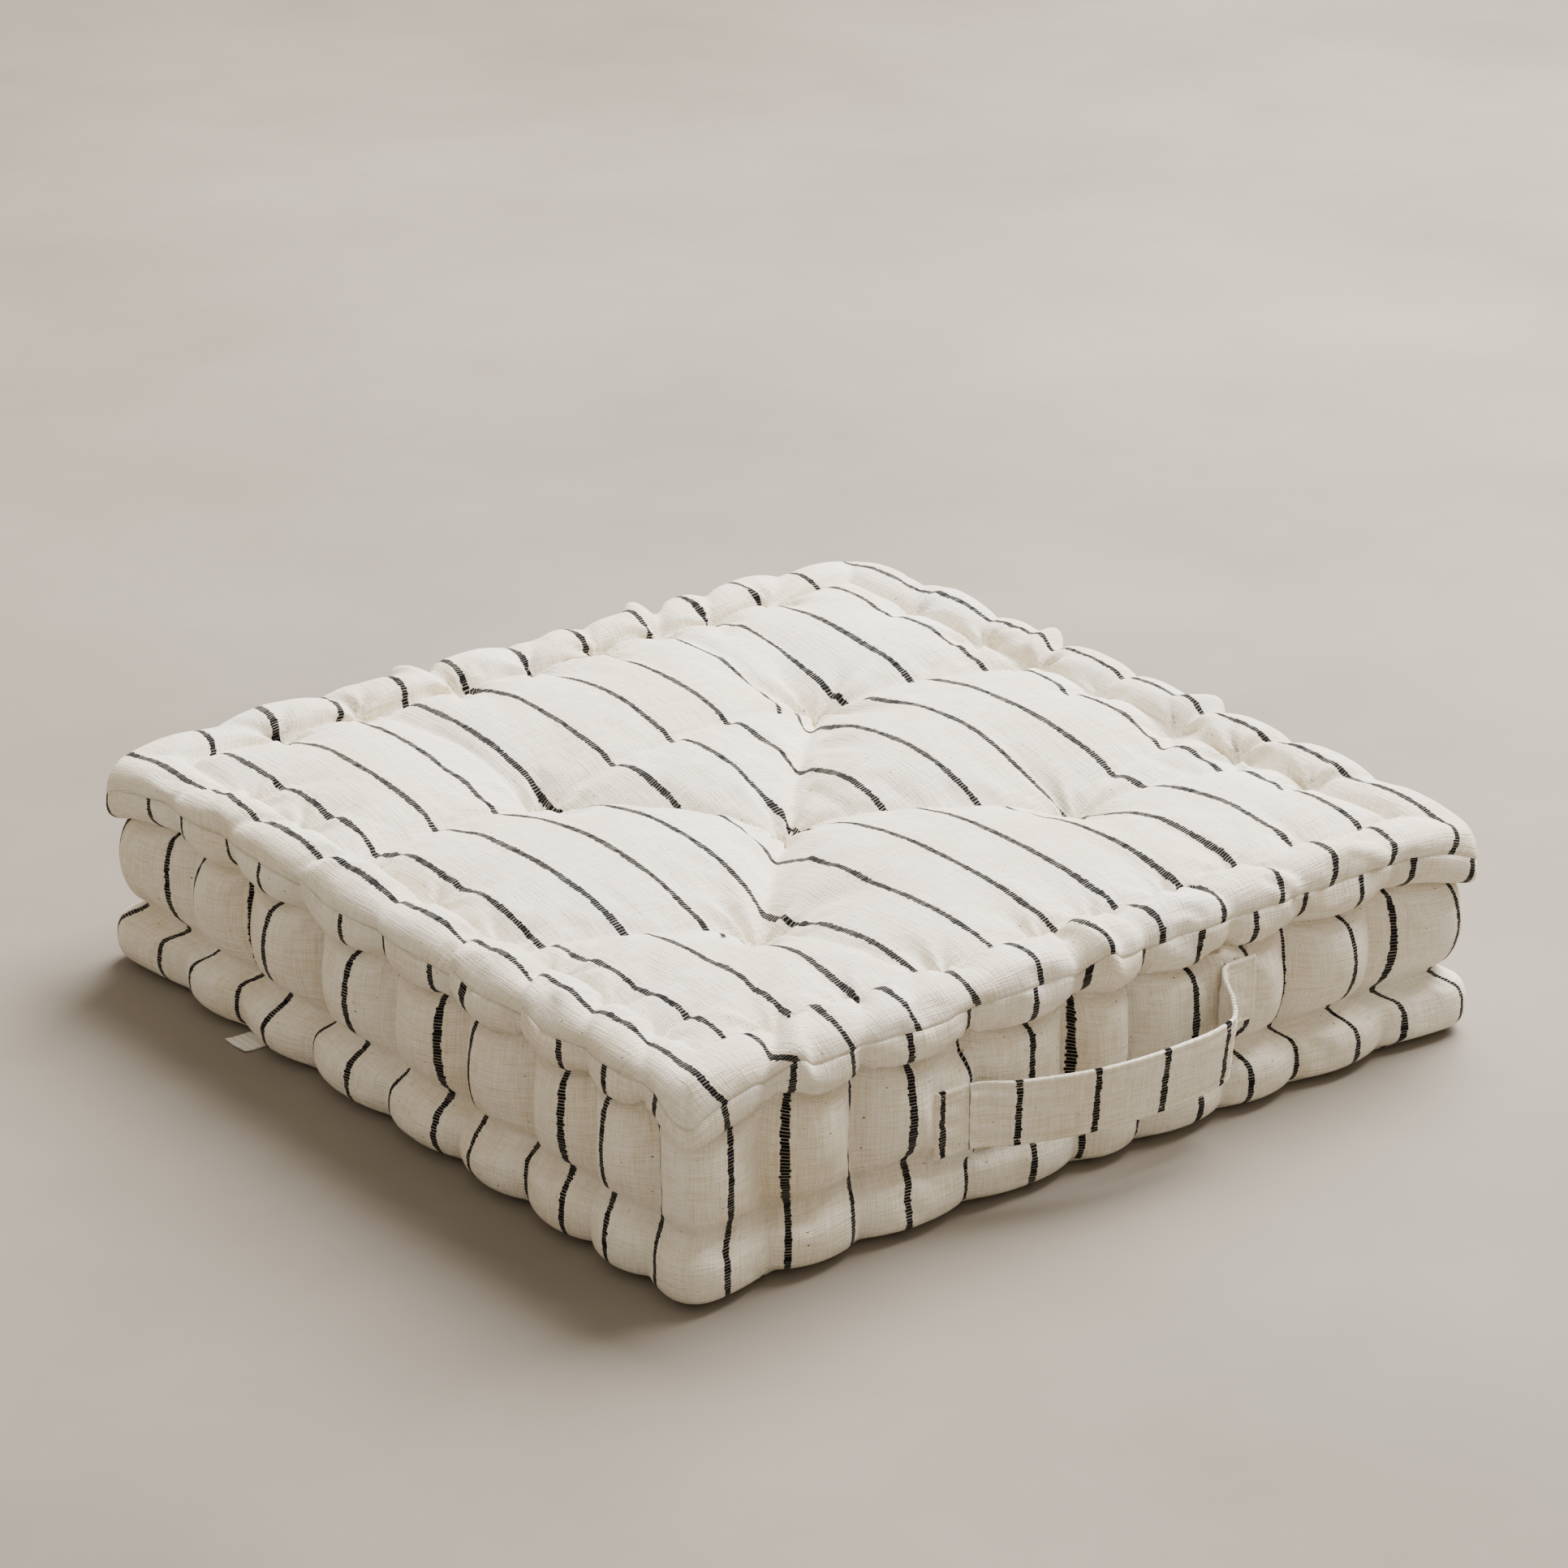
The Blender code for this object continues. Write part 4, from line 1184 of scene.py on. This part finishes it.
    def make_end(self, name: str, box: tuple, outwards: int) -> bpy.types.Object:
        """One sewn end: a folded patch of the band, padded between its stitches, its free edge proud."""
        low, high = Vector(box[0]), Vector(box[1])
        wide, tall = high.x - low.x, high.z - low.z
        columns, rows = 26, 40
        x, z = np.meshgrid(np.linspace(0, 1, columns + 1), np.linspace(0, 1, rows + 1), indexing="ij")
        free = x if outwards > 0 else 1 - x
        rim = np.minimum(np.minimum(z, 1 - z) * tall, (1 - free) * wide)
        round_edge = np.sqrt(1 - (1 - np.clip(rim / (1.3 * MM), 0, 1)) ** 2)
        lift = (self.thickness - 0.9 * MM) * (0.3 + 0.7 * round_edge)
        lift += 0.5 * MM * np.exp(-((((1 - free) * wide - 1.5 * MM) / (1.5 * MM)) ** 2))
        for line in self.end_seams(outwards, wide):
            lift -= 0.35 * MM * np.exp(-(((x * wide - line) / (0.7 * MM)) ** 2))
        for line in (self.stitch_inset, tall - self.stitch_inset):
            lift -= 0.35 * MM * np.exp(-(((z * tall - line) / (0.7 * MM)) ** 2))
        lift += 0.25 * MM * np.sin(z * tall * 2 * pi / (11 * MM) + x * 4) * np.sin(x * pi)
        outer = np.stack([low.x + x * wide, high.y - lift, low.z + z * tall], -1).reshape(-1, 3)
        inner = np.stack([low.x + x * wide, np.full_like(x, high.y + 1.2 * MM), low.z + z * tall], -1)
        number = np.arange((columns + 1) * (rows + 1)).reshape(columns + 1, rows + 1)
        cells = grid_faces(number)
        under = cells[:, ::-1] + len(outer)
        rim_line = np.concatenate([number[:, 0], number[-1, 1:], number[-2::-1, -1], number[0, -2:0:-1]])
        after = np.roll(rim_line, -1)
        side = np.stack([rim_line, rim_line + len(outer), after + len(outer), after], -1)
        faces = np.concatenate([cells, under, side])
        start = 9 * 39.3 * MM + (-5 * MM if outwards < 0 else 15 * MM)
        u, v = x.ravel() * wide + start, z.ravel() * tall
        flat = np.c_[np.tile(u, 2), np.tile(v, 2)][faces]
        points = np.concatenate([outer, inner.reshape(-1, 3)])
        piece = mesh_object(name + "_tab", points, faces.tolist(), flat.reshape(-1, 2))
        piece.data.shade_smooth()
        piece.data.set_sharp_from_angle(angle=radians(60))
        return piece

    def end_seams(self, outwards: int, wide: float) -> tuple[float, ...]:
        """Places of the upright seams on a sewn end: two at its free edge on the right, one on the left."""
        if outwards > 0:
            return wide - 3 * MM, wide - 6 * MM
        return (wide - 2 * MM,)

    def stitch_mesh(self) -> tuple[np.ndarray, list]:
        """One stitch: a short thread with round ends, lying along X."""
        deselect_all()
        bpy.ops.mesh.primitive_ico_sphere_add(subdivisions=1, radius=1)
        seed = bpy.context.object
        points = points_of(seed) * np.array((1.15 * MM, 0.26 * MM, 0.26 * MM))
        faces = [tuple(face.vertices) for face in seed.data.polygons]
        bpy.data.objects.remove(seed, do_unlink=True)
        return points, faces

    def sew(self, name: str, places: list[tuple[np.ndarray, np.ndarray, np.ndarray]]) -> bpy.types.Object:
        """Copy one stitch to each place: a middle, a direction along the seam and one outwards."""
        seed, shape = self.stitch_mesh()
        points, faces = [], []
        for middle, along, out in places:
            across = np.cross(out, along)
            faces += [tuple(k + len(points) * len(seed) for k in face) for face in shape]
            points.append(middle + seed @ np.array([along, across, out]))
        piece = mesh_object(name, np.concatenate(points), faces)
        piece.data.shade_smooth()
        return piece

    def strap_stitches(self) -> bpy.types.Object:
        """Two rows of topstitching along the band's edges, on its outer face."""
        middles, outs, ups, lengths = self.frames()
        section_place, section_thick = self.section()
        relief = self.relief(lengths, section_place)
        places = []
        for height in (-self.width / 2 + self.stitch_inset, self.width / 2 - self.stitch_inset):
            column = int(np.abs(section_place - height).argmin())
            for run in np.arange(self.stitch_pitch, lengths[-1] - self.stitch_pitch / 2, self.stitch_pitch):
                k = int(np.abs(lengths - run).argmin())
                lift = section_thick[column] + relief[k, column] + 0.08 * MM
                middle = middles[k] + ups[k] * section_place[column] + outs[k] * lift
                along = np.cross(ups[k], outs[k])
                places.append((middle, along / np.linalg.norm(along), outs[k]))
        return self.sew("strap_topstitching", places)

    def end_stitches(self) -> bpy.types.Object:
        """The seams that hold the strap's ends to the wall."""
        out = np.array((0.0, -1.0, 0.0))
        places = []
        for (low, high), outwards in ((self.left_end, -1), (self.right_end, 1)):
            y = high[1] - self.thickness + 1.15 * MM
            for height in (low[2] + self.stitch_inset, high[2] - self.stitch_inset):
                for x in np.arange(low[0] + 3 * MM, high[0] - 1 * MM, self.stitch_pitch):
                    places.append((np.array((x, y, height)), np.array((1.0, 0, 0)), out))
            for line in self.end_seams(outwards, high[0] - low[0]):
                for z in np.arange(low[2] + 4.5 * MM, high[2] - 3 * MM, self.stitch_pitch):
                    places.append((np.array((low[0] + line, y, z)), np.array((0, 0, 1.0)), out))
        return self.sew("handle_end_stitching", places)


# ------------------------------------------------------------ ties and label


@dataclass
class Ties:
    """Five lengths of doubled twine through the cushion, each with a knot in its tuft above and below."""

    twine: float = 1.1 * MM
    knot: float = 2.3 * MM
    tail: float = 9 * MM

    def build(self, cover: Cover, top: bpy.types.Object) -> list[bpy.types.Object]:
        """Tie each tuft.

        Args:
            cover: The cover, which knows where its tufts are.
            top: The finished top cloth.

        Returns:
            One object for each tie.
        """
        finish = Twine()
        material = finish.build("waxed_cotton_twine")
        faces = [tuple(face.vertices) for face in top.data.polygons]
        surface = BVHTree.FromPolygons([vertex.co for vertex in top.data.vertices], faces)
        made = []
        for number, tuft in enumerate(cover.tufts):
            above = Vector((tuft.x, tuft.y, cover.height * 2)) + cover.middle
            place, _, _, _ = surface.ray_cast(above, Vector((0, 0, -1)))
            low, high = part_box(tuft.tie)
            foot = Vector(((low[0] + high[0]) / 2, (low[1] + high[1]) / 2, low[2] + self.knot))
            tie = self.tie(tuft.tie + "_twine", place, foot, number)
            hand_over(tie, material, finish.slot, tuft.tie)
            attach(tie, "cushion")
            made.append(tie)
        return made

    def tie(self, name: str, head: Vector, foot: Vector, number: int) -> bpy.types.Object:
        """One tie: a rod of twine between two knots, with two cut tails at the top."""
        parts = []
        for place, turn in ((head + Vector((0, 0, 0.8 * MM)), 0.4 + number), (foot, 1.3 + number)):
            for slant in (radians(18), radians(-24)):
                deselect_all()
                bpy.ops.mesh.primitive_torus_add(
                    location=place,
                    rotation=(slant, slant / 2, turn),
                    major_segments=20,
                    minor_segments=8,
                    major_radius=self.knot - self.twine * 0.7,
                    minor_radius=self.twine * 0.75,
                )
                parts.append(bpy.context.object)
        run = head - foot
        deselect_all()
        bpy.ops.mesh.primitive_cylinder_add(
            vertices=10, radius=self.twine, depth=run.length, location=(head + foot) / 2
        )
        rod = bpy.context.object
        rod.rotation_euler = run.to_track_quat("Z", "Y").to_euler()
        parts.append(rod)
        for way in (0.3, 2.6):
            angle = way + number * 1.7
            parts.append(self.tail_end(head, Vector((cos(angle), sin(angle), 0))))
        deselect_all()
        for part in parts:
            part.select_set(True)
        bpy.context.view_layer.objects.active = parts[0]
        bpy.ops.object.join()
        tie = bpy.context.object
        tie.name = name
        place_in_mesh(tie)
        tie.data.shade_smooth()
        return tie

    def tail_end(self, head: Vector, way: Vector) -> bpy.types.Object:
        """A short cut end of twine that leaves the knot and rises along the cloth."""
        deselect_all()
        start = head + Vector((0, 0, 1.6 * MM))
        bpy.ops.mesh.primitive_cylinder_add(
            vertices=8, radius=self.twine * 0.55, depth=self.tail, location=start
        )
        tail = bpy.context.object
        bpy.ops.object.mode_set(mode="EDIT")
        bpy.ops.mesh.select_all(action="SELECT")
        bpy.ops.mesh.subdivide(number_cuts=1)
        bpy.ops.object.mode_set(mode="OBJECT")
        tail.rotation_euler = (way + Vector((0, 0, 0.95))).to_track_quat("Z", "Y").to_euler()
        tail.location = start + (way + Vector((0, 0, 0.95))).normalized() * self.tail / 2
        return tail


@dataclass
class CareLabel:
    """The blank care label: a folded tape that peeks out from under the left side."""

    def build(self) -> bpy.types.Object:
        """Make the label in its node's place, with a rounded fold at its outer edge."""
        low, high = Vector(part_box("care_label")[0]), Vector(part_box("care_label")[1])
        deselect_all()
        bpy.ops.mesh.primitive_cube_add(size=1, location=(low + high) / 2, scale=high - low)
        label = bpy.context.object
        label.name = "care_label_tape"
        place_in_mesh(label)
        bpy.ops.object.mode_set(mode="EDIT")
        bpy.ops.mesh.select_all(action="SELECT")
        bpy.ops.mesh.subdivide(number_cuts=9)
        bpy.ops.object.mode_set(mode="OBJECT")
        points = points_of(label)
        out = np.clip((low.x + 6 * MM - points[:, 0]) / (6 * MM), 0, 1)
        across = (points[:, 1] - low.y) / (high.y - low.y)
        points[:, 2] += 0.9 * MM * out**2 * (0.6 + 0.4 * np.cos(across * 5))
        set_points(label, points)
        apply_modifier(label, "BEVEL", width=0.25 * MM, segments=2, limit_method="ANGLE")
        label.data.shade_smooth()
        finish = LabelTape()
        hand_over(label, finish.build("woven_label_tape"), finish.slot, "care_label")
        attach(label, "cushion")
        return label


# ------------------------------------------------------------ studio


@dataclass
class Studio:
    """A plain pale floor, soft light from the right, and the camera."""

    pitch: float = radians(22.71)
    azimuth: float = radians(-37.98)
    distance: float = 2.8189
    aim: tuple[float, float, float] = (0.173, 0.2261, 0.0)
    lens: float = 115.2
    sensor: float = 36.0
    floor_size: float = 12.0

    def build(self) -> None:
        """Make the floor, the lights and the camera."""
        self.add_floor()
        self.add_lights()
        self.add_camera()

    def add_floor(self) -> None:
        """A large plane under the cushion."""
        deselect_all()
        bpy.ops.mesh.primitive_plane_add(size=self.floor_size, location=(0, 0, 0))
        floor = bpy.context.object
        floor.name = "studio_floor"
        floor.data.materials.append(PaleFloor().build("pale_microcement"))

    def add_lights(self) -> None:
        """A broad key light from high on the right, and a pale warm sky for the shade."""
        world = bpy.data.worlds.new("soft_sky")
        world.use_nodes = True
        sky = world.node_tree.nodes["Background"]
        sky.inputs["Color"].default_value = linear("#F3E6D3")
        sky.inputs["Strength"].default_value = 0.8
        bpy.context.scene.world = world
        self.add_area("key_light", Vector((1.7, 0.45, 2.3)), 2.4, 410, "#FFFDFA")

    def add_area(self, name: str, place: Vector, size: float, power: float, colour: str) -> None:
        """One square area light that looks at the cushion."""
        light = bpy.data.lights.new(name, "AREA")
        light.shape = "SQUARE"
        light.size = size
        light.energy = power
        light.color = linear(colour)[:3]
        lamp = bpy.data.objects.new(name, light)
        lamp.location = place
        lamp.rotation_euler = (-place).to_track_quat("-Z", "Y").to_euler()
        bpy.context.collection.objects.link(lamp)

    def add_camera(self) -> None:
        """The camera, looking down on the front left corner."""
        back = Vector(
            (sin(self.azimuth) * cos(self.pitch), -cos(self.azimuth) * cos(self.pitch), sin(self.pitch))
        )
        data = bpy.data.cameras.new("camera")
        data.lens = self.lens
        data.sensor_width = self.sensor
        camera = bpy.data.objects.new("camera", data)
        camera.location = Vector(self.aim) + back * self.distance
        camera.rotation_mode = "QUATERNION"
        camera.rotation_quaternion = (-back).to_track_quat("-Z", "Y")
        bpy.context.collection.objects.link(camera)
        bpy.context.scene.camera = camera


def main() -> None:
    """Build the cushion piece by piece, then its studio."""
    logging.basicConfig(level=logging.INFO, format="%(name)s: %(message)s")
    cover = Cover()
    cloths = cover.build()
    pieces = [*cloths.values(), *Handle().build(), *Ties().build(cover, cloths[Cloth.TOP])]
    for piece in [*pieces, CareLabel().build()]:
        LOG.info("%s has %d faces", piece.name, len(piece.data.polygons))
    Studio().build()


if __name__ == "__main__":
    main()
